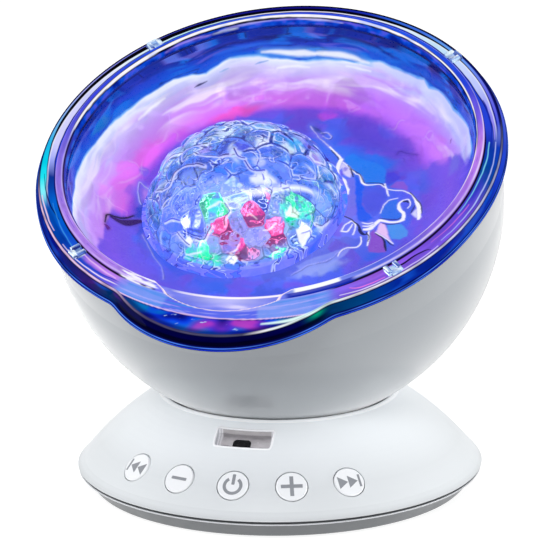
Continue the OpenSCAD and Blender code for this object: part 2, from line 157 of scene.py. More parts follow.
def inside(x, y, pts, soft):
    """1 inside a many-cornered outline, falling to 0 over soft at its edge."""
    p = np.array(pts, float)
    near = (x > p[:, 0].min() - soft) & (x < p[:, 0].max() + soft) & (y > p[:, 1].min() - soft) & (y < p[:, 1].max() + soft)
    X, Y = x[near], y[near]
    odd = np.zeros(X.shape, bool)
    gap = np.full(X.shape, 99.0)
    for a, b in zip(p, np.roll(p, -1, 0)):
        d = b - a
        if d[1] != 0:
            odd ^= ((a[1] > Y) != (b[1] > Y)) & (X < a[0] + (Y - a[1]) / d[1] * d[0])
        s = np.clip(((X - a[0]) * d[0] + (Y - a[1]) * d[1]) / max(float(d @ d), 1e-9), 0, 1)
        gap = np.minimum(gap, np.hypot(X - a[0] - s * d[0], Y - a[1] - s * d[1]))
    out = np.zeros(x.shape)
    out[near] = smooth(-soft / 2, soft / 2, np.where(odd, gap, -gap))
    return out


# ---------------------------------------------------------------- meshes


def make(name, verts, faces, place=HEAD, sharp=35, paint=None):
    """A closed mesh from millimetre points in a part's own frame."""
    verts = np.asarray(verts, float) * MM
    tri = [(f[0], f[k], f[k + 1]) for f in faces for k in range(1, len(f) - 1)]
    tri = np.array(tri)
    a, b, c = verts[tri[:, 0]], verts[tri[:, 1]], verts[tri[:, 2]]
    if np.einsum("ij,ij->i", a, np.cross(b, c)).sum() < 0:
        faces = [tuple(reversed(f)) for f in faces]
    me = bpy.data.meshes.new(name)
    me.from_pydata(verts.tolist(), [], [tuple(int(i) for i in f) for f in faces])
    me.polygons.foreach_set("use_smooth", np.ones(len(me.polygons), bool))
    if sharp:
        me.set_sharp_from_angle(angle=math.radians(sharp))
    if paint is not None:
        rgba = np.concatenate([np.asarray(paint, float), np.ones((len(verts), 1))], 1)
        at = me.color_attributes.new("paint", "FLOAT_COLOR", "POINT")
        at.data.foreach_set("color", rgba.astype(np.float32).ravel())
    me.update()
    ob = bpy.data.objects.new(name, me)
    scene.collection.objects.link(ob)
    ob.matrix_world = place
    return ob


def grid_faces(rows, cols, loop=False):
    """Quads of a grid of rows x cols points; columns always join up, rows too if loop."""
    r = np.arange(rows if loop else rows - 1)
    c = np.arange(cols)
    R, C = np.meshgrid(r, c, indexing="ij")
    R2, C2 = (R + 1) % rows, (C + 1) % cols
    return np.stack([R * cols + C, R * cols + C2, R2 * cols + C2, R2 * cols + C], -1).reshape(-1, 4)


def polar(phi, r, h, cx=0.0, cy=0.0):
    """Points from angle from the front (degrees), radius and height."""
    a = np.radians(phi)
    return np.stack([cx + r * np.sin(a), cy - r * np.cos(a), h + 0 * r], -1)


# ---------------------------------------------------------------- materials
def new_mat(name):
    m = bpy.data.materials.new(name)
    m.use_nodes = True
    nt = m.node_tree
    nt.nodes.clear()
    out = nt.nodes.new("ShaderNodeOutputMaterial")
    p = nt.nodes.new("ShaderNodeBsdfPrincipled")
    nt.links.new(p.outputs[0], out.inputs["Surface"])
    return m, nt, p


def noise_node(nt, scale, detail=3.0, rough=0.55, distortion=0.0, coord="Object"):
    tc = nt.nodes.new("ShaderNodeTexCoord")
    n = nt.nodes.new("ShaderNodeTexNoise")
    n.inputs["Scale"].default_value = scale
    n.inputs["Detail"].default_value = detail
    n.inputs["Roughness"].default_value = rough
    n.inputs["Distortion"].default_value = distortion
    nt.links.new(tc.outputs[coord], n.inputs["Vector"])
    return n


def map_range(nt, source, lo, hi, a=0.3, b=0.7):
    r = nt.nodes.new("ShaderNodeMapRange")
    r.inputs["From Min"].default_value = a
    r.inputs["From Max"].default_value = b
    r.inputs["To Min"].default_value = lo
    r.inputs["To Max"].default_value = hi
    nt.links.new(source, r.inputs["Value"])
    return r.outputs["Result"]


def colour_ramp(nt, source, stops):
    r = nt.nodes.new("ShaderNodeValToRGB")
    e = r.color_ramp.elements
    e[0].position, e[0].color = stops[0][0], (*stops[0][1], 1)
    e[1].position, e[1].color = stops[-1][0], (*stops[-1][1], 1)
    for place, col in stops[1:-1]:
        k = e.new(place)
        k.color = (*col, 1)
    nt.links.new(source, r.inputs["Fac"])
    return r.outputs["Color"]


def bump(nt, p, source, strength, distance):
    b = nt.nodes.new("ShaderNodeBump")
    b.inputs["Strength"].default_value = strength
    b.inputs["Distance"].default_value = distance
    nt.links.new(source, b.inputs["Height"])
    nt.links.new(b.outputs["Normal"], p.inputs["Normal"])
    return b


def plastic(name, colour, rough=0.35, vary=0.03, grain=900, depth=0.00004, strength=0.2, coat=0.0, coat_rough=0.1, spec=0.5, metal=0.0, spread=0.06):
    """Moulded plastic or plain metal: slight cloudiness of colour, uneven gloss and a fine moulded grain."""
    m, nt, p = new_mat(name)
    col = lin(*colour)
    cloud = noise_node(nt, 45, 4, 0.6)
    c = colour_ramp(nt, cloud.outputs["Fac"], [(0.3, tuple(np.clip(col * (1 - vary), 0, 1))), (0.55, tuple(col)), (0.75, tuple(np.clip(col * (1 + vary), 0, 1)))])
    nt.links.new(c, p.inputs["Base Color"])
    gloss = noise_node(nt, 160, 4, 0.6)
    nt.links.new(map_range(nt, gloss.outputs["Fac"], rough - spread, rough + spread), p.inputs["Roughness"])
    grain_n = noise_node(nt, grain, 2, 0.5)
    bump(nt, p, grain_n.outputs["Fac"], strength, depth)
    p.inputs["Specular IOR Level"].default_value = spec
    p.inputs["Metallic"].default_value = metal
    p.inputs["Coat Weight"].default_value = coat
    p.inputs["Coat Roughness"].default_value = coat_rough
    return m


def painted(name, base=0.35, glow=0.65, rough=0.2, coat=0.6, coat_rough=0.05, fleck=0.06, fleck_scale=220, spec=0.5):
    """A surface whose colour is in its paint attribute, partly lit from within."""
    m, nt, p = new_mat(name)
    at = nt.nodes.new("ShaderNodeVertexColor")
    at.layer_name = "paint"
    n = noise_node(nt, fleck_scale, 4, 0.6)
    f = map_range(nt, n.outputs["Fac"], 1 - fleck, 1 + fleck)
    lit = nt.nodes.new("ShaderNodeVectorMath")
    lit.operation = "SCALE"
    nt.links.new(at.outputs["Color"], lit.inputs[0])
    nt.links.new(f, lit.inputs["Scale"])
    nt.links.new(lit.outputs[0], p.inputs["Emission Color"])
    p.inputs["Emission Strength"].default_value = glow
    dim = nt.nodes.new("ShaderNodeVectorMath")
    dim.operation = "SCALE"
    dim.inputs["Scale"].default_value = base
    nt.links.new(lit.outputs[0], dim.inputs[0])
    nt.links.new(dim.outputs[0], p.inputs["Base Color"])
    g = noise_node(nt, 400, 2)
    nt.links.new(map_range(nt, g.outputs["Fac"], max(0.02, rough - 0.05), rough + 0.05), p.inputs["Roughness"])
    p.inputs["Specular IOR Level"].default_value = spec
    p.inputs["Coat Weight"].default_value = coat
    p.inputs["Coat Roughness"].default_value = coat_rough
    return m


AXIS = (0.0, -math.sin(math.radians(29)), math.cos(math.radians(29)))


def glowing(name, side, hot, strength):
    """An LED's body: clear plastic that gives off light, hot at its tip and deeper in colour down its side."""
    m, nt, p = new_mat(name)
    tc = nt.nodes.new("ShaderNodeTexCoord")
    dot = nt.nodes.new("ShaderNodeVectorMath")
    dot.operation = "DOT_PRODUCT"
    dot.inputs[1].default_value = AXIS
    nt.links.new(tc.outputs["Normal"], dot.inputs[0])
    n = noise_node(nt, 760, 3, 0.6, 1.2)
    add = nt.nodes.new("ShaderNodeMath")
    add.operation = "ADD"
    nt.links.new(dot.outputs["Value"], add.inputs[0])
    nt.links.new(map_range(nt, n.outputs["Fac"], -0.5, 0.3), add.inputs[1])
    s, h = lin(*side), lin(*hot)
    c = colour_ramp(nt, add.outputs[0], [(0.0, tuple(s * 0.3)), (0.45, tuple(s)), (0.82, tuple((s * 2 + h) / 3)), (1.0, tuple(h))])
    nt.links.new(c, p.inputs["Base Color"])
    nt.links.new(c, p.inputs["Emission Color"])
    p.inputs["Emission Strength"].default_value = strength
    nt.links.new(map_range(nt, n.outputs["Fac"], 0.12, 0.25), p.inputs["Roughness"])
    return m


def put(material, *names):
    for n in names:
        o = NODES[n]
        o.data.materials.clear()
        o.data.materials.append(material)


def cover(obj, material):
    obj.data.materials.clear()
    obj.data.materials.append(material)


# ---------------------------------------------------------------- camera
az, el, roll = math.radians(14.88), math.radians(14.46), math.radians(-0.63)
back = Vector((math.sin(az) * math.cos(el), -math.cos(az) * math.cos(el), math.sin(el)))
right = Vector((math.cos(az), math.sin(az), 0))
up = back.cross(right)
r2 = math.cos(roll) * right + math.sin(roll) * up
u2 = -math.sin(roll) * right + math.cos(roll) * up
cam_data = bpy.data.cameras.new("camera")
cam_data.sensor_width = 36
cam_data.lens = 238.4
cam_data.clip_start, cam_data.clip_end = 0.01, 50
cam = bpy.data.objects.new("camera", cam_data)
scene.collection.objects.link(cam)
place = Matrix((r2, u2, back)).transposed().to_4x4()
place.translation = Vector((234.289, -889.954, 295.829)) * MM
cam.matrix_world = place
scene.camera = cam

# ---------------------------------------------------------------- cover: ring with finger lip
TOP_R, LIP_OFF = 61.15, 34.6
LIP_R = TOP_R - 27.25
PHI = np.arange(1260) / 1260 * 360 - 180
FLANGE = 0.52 + 0.48 * band(PHI, 0, 40, 34)


def outline(phi, d):
    """Radius of the cover's outline, offset outward by d: the main circle joined to the finger lip's circle."""
    a = np.radians(phi)
    main = TOP_R + d
    inner = (LIP_R + d) ** 2 - (LIP_OFF * np.sin(a)) ** 2
    lobe = np.where((np.abs(phi) < 75) & (inner > 0), LIP_OFF * np.cos(a) + np.sqrt(np.maximum(inner, 0)), 0)
    k = 0.9
    e = np.maximum(k - np.abs(main - lobe), 0) / k
    return np.maximum(main, lobe) + e * e * k * 0.25


def ring_rows():
    """(zone, place in zone 0..1, radii, heights) of every row, from the inner underside outward, over the top and in again."""
    rows = []

    def circle(zone, q, r, h):
        rows.append((zone, q, np.full(PHI.shape, float(r)), np.full(PHI.shape, float(h))))

    def off(zone, q, d, h):
        rows.append((zone, q, outline(PHI, d * FLANGE if d > 0 else d), np.full(PHI.shape, float(h))))

    circle("under", 0, 53.9, 14.3)
    circle("under", 0.2, 59.2, 14.2)
    off("under", 0.4, -2.0, 14.2)
    off("under", 0.6, -0.4, 12.5)
    off("under", 0.8, 2.1, 12.5)
    off("lip", 0.0, 2.3, 12.6)
    for q in (0.14, 0.3, 0.5, 0.7, 0.85, 1.0):
        off("lip", q, 2.32, 12.6 + 0.7 * q)
    for q in (0.2, 0.4, 0.6, 0.8, 1.0):
        off("bevel", q, 2.3 - 0.55 * q ** 1.6, 13.3 + 0.32 * q)
    for q in np.linspace(0.05, 1, 20):
        off("band", q, 1.75 - 1.55 * q + 0.16 * math.sin(math.pi * q), 13.62 + 1.98 * q)
    off("edge", 0.25, 0.1, 15.76)
    off("edge", 0.5, 0.0, 15.86)
    off("edge", 0.75, -0.13, 15.94)
    off("edge", 1.0, -0.3, 15.99)
    outer = outline(PHI, -0.3)
    for q in np.linspace(0.028, 1, 38):
        r = outer + (56.72 - outer) * q
        rows.append(("shelf", q, r, np.full(PHI.shape, 15.99 + 0.2 * q)))
    for q, r, h in ((0.15, 56.66, 16.35), (0.3, 56.6, 16.55), (0.45, 56.54, 16.78), (0.6, 56.47, 17.0), (0.75, 56.4, 17.18), (0.9, 56.28, 17.33)):
        circle("out", q, r, h)
    for q in np.linspace(0.05, 0.95, 9):
        circle("top", q, 56.14 - 1.37 * q, 17.44 + 0.1 * math.sin(math.pi * q))
    for q, r, h in ((0.1, 54.64, 17.33), (0.22, 54.52, 17.2), (0.35, 54.42, 17.02), (0.5, 54.31, 16.7), (0.65, 54.21, 16.4), (0.8, 54.12, 16.1), (1.0, 53.95, 15.5)):
        circle("in", q, r, h)
    circle("under", 0.0, 53.9, 14.9)
    return rows


BAND = [(-180, (3, 3, 30)), (-128, (3, 4, 40)), (-112, (2, 8, 72)), (-100, (0, 20, 112)), (-88, (0, 44, 146)), (-79, (0, 66, 168)), (-70, (0, 32, 142)),
        (-55, (2, 10, 122)), (-43, (6, 18, 112)), (-35, (42, 22, 112)), (-29, (0, 46, 104)), (-24, (3, 4, 74)), (0, (1, 0, 54)), (19, (2, 3, 70)),
        (26, (0, 44, 92)), (34, (0, 66, 130)), (44, (3, 36, 146)), (60, (5, 32, 150)), (78, (10, 46, 172)), (95, (30, 62, 192)), (109, (70, 86, 205)),
        (122, (20, 24, 112)), (136, (4, 4, 46)), (180, (3, 3, 30))]
OUTER = [(-180, (2, 2, 24)), (-140, (2, 2, 28)), (-128, (26, 34, 112)), (-119, (196, 200, 250)), (-109, (170, 184, 248)), (-101, (0, 176, 226)), (-91, (0, 205, 238)),
         (-81, (0, 112, 206)), (-66, (0, 84, 190)), (-52, (0, 56, 160)), (-44, (16, 70, 196)), (-36, (66, 80, 220)), (-28, (118, 92, 226)), (-20, (92, 104, 234)),
         (20, (92, 108, 236)), (28, (116, 92, 224)), (40, (126, 86, 220)), (56, (116, 82, 218)), (72, (100, 74, 212)), (84, (8, 66, 160)), (96, (12, 56, 182)),
         (106, (150, 166, 242)), (118, (198, 214, 252)), (138, (206, 222, 254)), (149, (150, 166, 246)), (157, (8, 10, 56)), (180, (2, 2, 24))]
INNER = [(-180, (22, 44, 200)), (-166, (28, 66, 218)), (-150, (186, 198, 250)), (-135, (204, 208, 252)), (-118, (188, 192, 250)), (-106, (112, 136, 234)), (-96, (0, 58, 158)),
         (-84, (0, 36, 138)), (-70, (0, 100, 206)), (-55, (0, 84, 200)), (-46, (28, 80, 212)), (-38, (176, 120, 236)), (-30, (188, 128, 236)), (-24, (110, 112, 236)),
         (24, (100, 100, 230)), (40, (150, 94, 226)), (52, (124, 82, 222)), (66, (112, 78, 220)), (78, (58, 58, 200)), (88, (0, 66, 148)), (98, (16, 48, 180)),
         (110, (66, 78, 216)), (122, (184, 194, 250)), (140, (200, 218, 254)), (154, (112, 134, 240)), (168, (28, 58, 220)), (180, (22, 44, 200))]
RIDGE = [(-180, (34, 70, 220)), (-165, (46, 96, 234)), (-150, (30, 80, 224)), (-130, (36, 76, 218)), (-110, (56, 66, 214)), (-96, (86, 86, 218)), (-85, (128, 108, 224)),
         (-60, (164, 124, 230)), (-36, (176, 130, 236)), (-23, (160, 130, 236)), (-18, (108, 114, 236)), (0, (102, 112, 234)), (17, (108, 120, 238)), (20, (150, 168, 244)),
         (32, (120, 136, 238)), (44, (86, 104, 228)), (58, (130, 104, 224)), (80, (166, 114, 230)), (96, (192, 130, 236)), (108, (118, 92, 224)), (120, (38, 66, 214)),
         (150, (32, 82, 224)), (180, (34, 70, 220))]
EDGE_ON = [(-180, 0), (-80, 0), (-74, 0.25), (-66, 0.95), (-28, 0.95), (-24, 0.3), (-17, 0.08), (7, 0.08), (12, 0.95), (28, 1), (34, 0.95), (74, 0.9), (90, 0.55), (100, 0.15), (108, 0), (180, 0)]
# long reflections on the shelf: (angle, share of the way in, width in mm) points and a colour
SHELF_LINES = [([(-78, 0.3, 0.1), (-70, 0.42, 0.3), (-64, 0.56, 0.35), (-59, 0.72, 0.12)], (2, 8, 84)),
               ([(-70, 0.12, 0.15), (-64, 0.14, 0.3), (-56, 0.12, 0.15)], (246, 214, 240)),
               ([(-66, 0.7, 0.1), (-56, 0.62, 0.22), (-48, 0.52, 0.2), (-42, 0.5, 0.1)], (60, 150, 225)),
               ([(-46, 0.2, 0.15), (-38, 0.34, 0.3), (-31, 0.5, 0.35), (-26, 0.62, 0.2)], (20, 60, 200)),
               ([(-50, 0.12, 0.15), (-40, 0.16, 0.3), (-32, 0.24, 0.35), (-26, 0.34, 0.2)], (238, 222, 252)),
               ([(-44, 0.74, 0.2), (-36, 0.72, 0.4), (-30, 0.66, 0.3)], (226, 180, 245)),
               ([(30, 0.3, 0.2), (36, 0.14, 0.3), (46, 0.12, 0.25), (58, 0.16, 0.2)], (226, 214, 255)),
               ([(33, 0.62, 0.15), (34.5, 0.4, 0.25), (38, 0.3, 0.25), (42, 0.3, 0.15)], (250, 130, 220)),
               ([(46.5, 0.86, 0.15), (45.5, 0.66, 0.5), (48, 0.54, 0.55), (52, 0.6, 0.45), (55, 0.5, 0.35), (56, 0.3, 0.2)], (4, 4, 40)),
               ([(58, 0.7, 0.1), (66, 0.66, 0.25), (74, 0.6, 0.2)], (200, 110, 215)),
               ([(60, 0.34, 0.15), (72, 0.3, 0.3), (84, 0.3, 0.3), (98, 0.34, 0.2)], (176, 190, 250)),
               ([(70, 0.84, 0.15), (84, 0.8, 0.3), (98, 0.76, 0.25)], (120, 210, 240)),
               ([(99, 0.42, 0.15), (104, 0.46, 0.35), (109, 0.5, 0.3), (113, 0.62, 0.12)], (150, 140, 242)),
               ([(98, 0.66, 0.2), (104, 0.6, 0.3), (110, 0.66, 0.5), (115, 0.7, 0.2)], (20, 40, 170))]


# the layered look of the ring's far half: at each angle, how far in each layer reaches (outline, thin line, dark band, gap, pale band) and the colours of outline, line, band and pale band
LAYERS = [(-62, (0.03, 0.3, 0.3, 0.34, 0.96), (2, 16, 110), (60, 150, 230), (4, 40, 140), (0, 104, 204)),
          (-69, (0.05, 0.36, 0.38, 0.42, 0.94), (0, 20, 120), (150, 244, 255), (4, 30, 130), (4, 78, 186)),
          (-77, (0.04, 0.44, 0.45, 0.5, 0.94), (0, 30, 130), (30, 232, 244), (6, 40, 140), (10, 50, 146)),
          (-83, (0.03, 0.38, 0.42, 0.46, 0.86), (0, 40, 140), (0, 206, 232), (2, 10, 80), (150, 160, 240)),
          (-90, (0.03, 0.26, 0.34, 0.37, 0.84), (0, 34, 130), (30, 178, 232), (1, 4, 40), (206, 206, 252)),
          (-99, (0.05, 0.17, 0.35, 0.38, 0.82), (2, 12, 84), (124, 186, 246), (1, 1, 18), (212, 212, 253)),
          (-110, (0.08, 0.16, 0.41, 0.44, 0.8), (2, 4, 50), (172, 176, 248), (1, 1, 12), (206, 210, 252)),
          (-122, (0.1, 0.17, 0.46, 0.5, 0.74), (2, 3, 46), (140, 144, 240), (1, 1, 10), (226, 232, 255)),
          (-132, (0.1, 0.16, 0.52, 0.57, 0.72), (2, 3, 44), (120, 124, 232), (1, 1, 10), (206, 236, 250)),
          (-141, (0.1, 0.15, 0.52, 0.56, 0.66), (2, 3, 44), (60, 66, 190), (1, 1, 10), (150, 226, 246)),
          (-150, (0.1, 0.19, 0.52, 0.57, 0.64), (2, 3, 40), (30, 34, 160), (1, 1, 14), (120, 214, 240)),
          (-164, (0.1, 0.28, 0.46, 0.58, 0.64), (1, 2, 30), (14, 14, 120), (1, 1, 16), (236, 234, 255)),
          (-180, (0.1, 0.28, 0.46, 0.58, 0.64), (1, 2, 28), (16, 12, 118), (1, 1, 16), (244, 226, 252)),
          (166, (0.1, 0.28, 0.46, 0.58, 0.66), (1, 2, 28), (24, 44, 176), (1, 1, 16), (206, 216, 255)),
          (156, (0.1, 0.28, 0.5, 0.53, 0.66), (2, 3, 34), (52, 102, 216), (1, 1, 12), (230, 242, 255)),
          (148, (0.1, 0.3, 0.45, 0.48, 0.76), (3, 6, 60), (64, 112, 224), (1, 1, 12), (204, 230, 253)),
          (140, (0.12, 0.3, 0.4, 0.43, 0.82), (4, 10, 84), (100, 160, 242), (1, 1, 14), (192, 226, 251)),
          (129, (0.14, 0.31, 0.37, 0.4, 0.86), (6, 16, 110), (104, 146, 242), (2, 2, 30), (198, 212, 253)),
          (119, (0.12, 0.3, 0.34, 0.37, 0.84), (8, 14, 110), (106, 112, 232), (8, 10, 86), (186, 196, 252)),
          (111, (0.1, 0.26, 0.34, 0.38, 0.66), (8, 14, 110), (92, 94, 228), (28, 30, 140), (154, 154, 247)),
          (104, (0.08, 0.2, 0.28, 0.32, 0.48), (6, 20, 124), (64, 84, 222), (18, 32, 150), (112, 104, 228)),
          (97, (0.06, 0.16, 0.24, 0.3, 0.44), (4, 30, 140), (30, 70, 200), (10, 40, 160), (50, 70, 212))]
# the ridge of the far half: ends of the blue top, a dark line, a white line and a second dark line, along the top (0-1) and down the inner side (1-2.3)
RIDGE_ENDS = [(-88, (0.86, 0.92, 1.12, 1.45)), (-100, (0.8, 0.92, 1.36, 1.62)), (-115, (0.8, 0.94, 1.5, 1.74)), (-132, (0.66, 0.82, 1.5, 1.85)), (-145, (0.52, 0.6, 1.16, 1.5)), (-165, (0.48, 0.5, 1.1, 1.46)),
              (-180, (0.52, 0.53, 1.2, 1.46)), (165, (0.56, 0.58, 1.18, 1.44)), (150, (0.78, 0.84, 1.28, 1.5)), (135, (0.93, 1.03, 1.38, 1.62)), (120, (1.0, 1.1, 1.36, 1.64)), (105, (0.95, 1.05, 1.28, 1.56)), (90, (0.9, 1.0, 1.14, 1.45))]

# wisps of light on the ridge's inner side at the back: (angle, place, width) points and a colour
WISPS = [([(-150, 2.1, 0.3), (-145, 1.86, 1.4), (-140, 1.84, 1.0), (-136, 2.0, 0.3)], (176, 150, 248)), ([(-158, 2.05, 0.2), (-155, 1.96, 0.8), (-151, 2.0, 0.2)], (232, 244, 255)),
         ([(-168, 1.62, 0.3), (-163, 1.62, 1.2), (-157, 1.72, 0.8), (-153, 1.86, 0.2)], (190, 180, 252)), ([(-178, 1.62, 0.3), (-172, 1.6, 1.0), (-168, 1.66, 0.4)], (170, 150, 246)),
         ([(-176, 1.5, 0.4), (179, 1.62, 1.8), (174, 1.72, 0.9), (171, 1.86, 0.3)], (206, 200, 254)), ([(171, 1.66, 0.3), (168, 1.72, 1.0), (164, 1.8, 0.3)], (122, 92, 226)), ([(146, 1.7, 0.2), (138, 1.8, 0.9), (130, 1.9, 0.3)], (96, 96, 226))]


def at_angle(phi, table, pick):
    """Numbers from a table of (angle, ...) rows, joined up round the back."""
    rows = sorted(table, key=lambda r: r[0] % 360)
    xs = [r[0] % 360 for r in rows]
    return np.interp(np.asarray(phi) % 360, xs, [pick(r) for r in rows])


def far_shelf(q, phi):
    """Colour of the shelf over the far half: outline, thin line, dark band, pale band, blue."""
    e = [at_angle(phi, LAYERS, lambda r, k=k: r[1][k]) for k in range(5)]
    col = [np.stack([at_angle(phi, LAYERS, lambda r, k=k, j=j: lin(*r[2 + k])[j]) for j in range(3)], -1) for k in range(4)]
    s = 0.022
    c = col[0]
    c = mixc(c, col[1], smooth(e[0] - s, e[0] + s, q))
    c = mixc(c, col[2], smooth(e[1] - s, e[1] + s, q))
    c = mixc(c, lin(250, 250, 255) * 0.5 + col[3] * 0.5, smooth(e[3] - 2 * s, e[3], q))
    c = mixc(c, col[3], smooth(e[3] + s, e[3] + 4 * s, q))
    c = mixc(c, lin(8, 12, 104), smooth(e[4] - s, e[4] + s, q))
    return mixc(c, lin(36, 66, 214), smooth(e[4] + 0.05, e[4] + 0.09, q))


def far_ridge(place, phi, P, n1, n2):
    """Colour of the ridge over the far half: blue top, fine dark and white lines, then the deep blue below."""
    e = [at_angle(phi, RIDGE_ENDS, lambda r, k=k: r[1][k]) for k in range(4)]
    w = 0.07 * n2 + 0.05 * n1
    c = ramp(phi + 2 * n1, RIDGE) * (1 + 0.15 * n2)[:, None]
    c = mixc(c, lin(1, 1, 22), smooth(e[0] - 0.05, e[0] + 0.03, place) * smooth(0.01, 0.05, e[1] - e[0]))
    white = mixc(np.tile(lin(252, 248, 252), (len(phi), 1)), lin(206, 214, 255), smooth(0.0, 0.5, around(phi, 9, 31.7)))
    c = mixc(c, white, smooth(e[1] - 0.04, e[1] + 0.05, place))
    c = mixc(c, lin(2, 2, 40), smooth(e[2] - 0.05, e[2] + 0.05, place + w))
    deep = fbm(P * np.array([0.22, 0.22, 0.5]) + 37, 3)
    low = ramp(deep, [(-0.5, (6, 30, 142)), (-0.1, (8, 58, 192)), (0.2, (10, 82, 216)), (0.5, (76, 86, 224))])
    c = mixc(c, low, smooth(e[3] - 0.06, e[3] + 0.06, place + w))
    turn = phi % 360
    for pts, col in WISPS:
        c = mixc(c, lin(*col), 0.85 * stroke(turn, 5 * (place + w) + 0 * turn, [(f % 360, 5 * h, d) for f, h, d in pts], 0.8))
    return c


def around(phi, lam, seed, octaves=2):
    """Noise that changes only round the ring, over about lam mm."""
    a = np.radians(phi)
    return fbm(np.stack([61 / lam * np.sin(a), 61 / lam * np.cos(a), np.broadcast_to(seed, np.shape(phi)) + 0.0], -1), octaves)


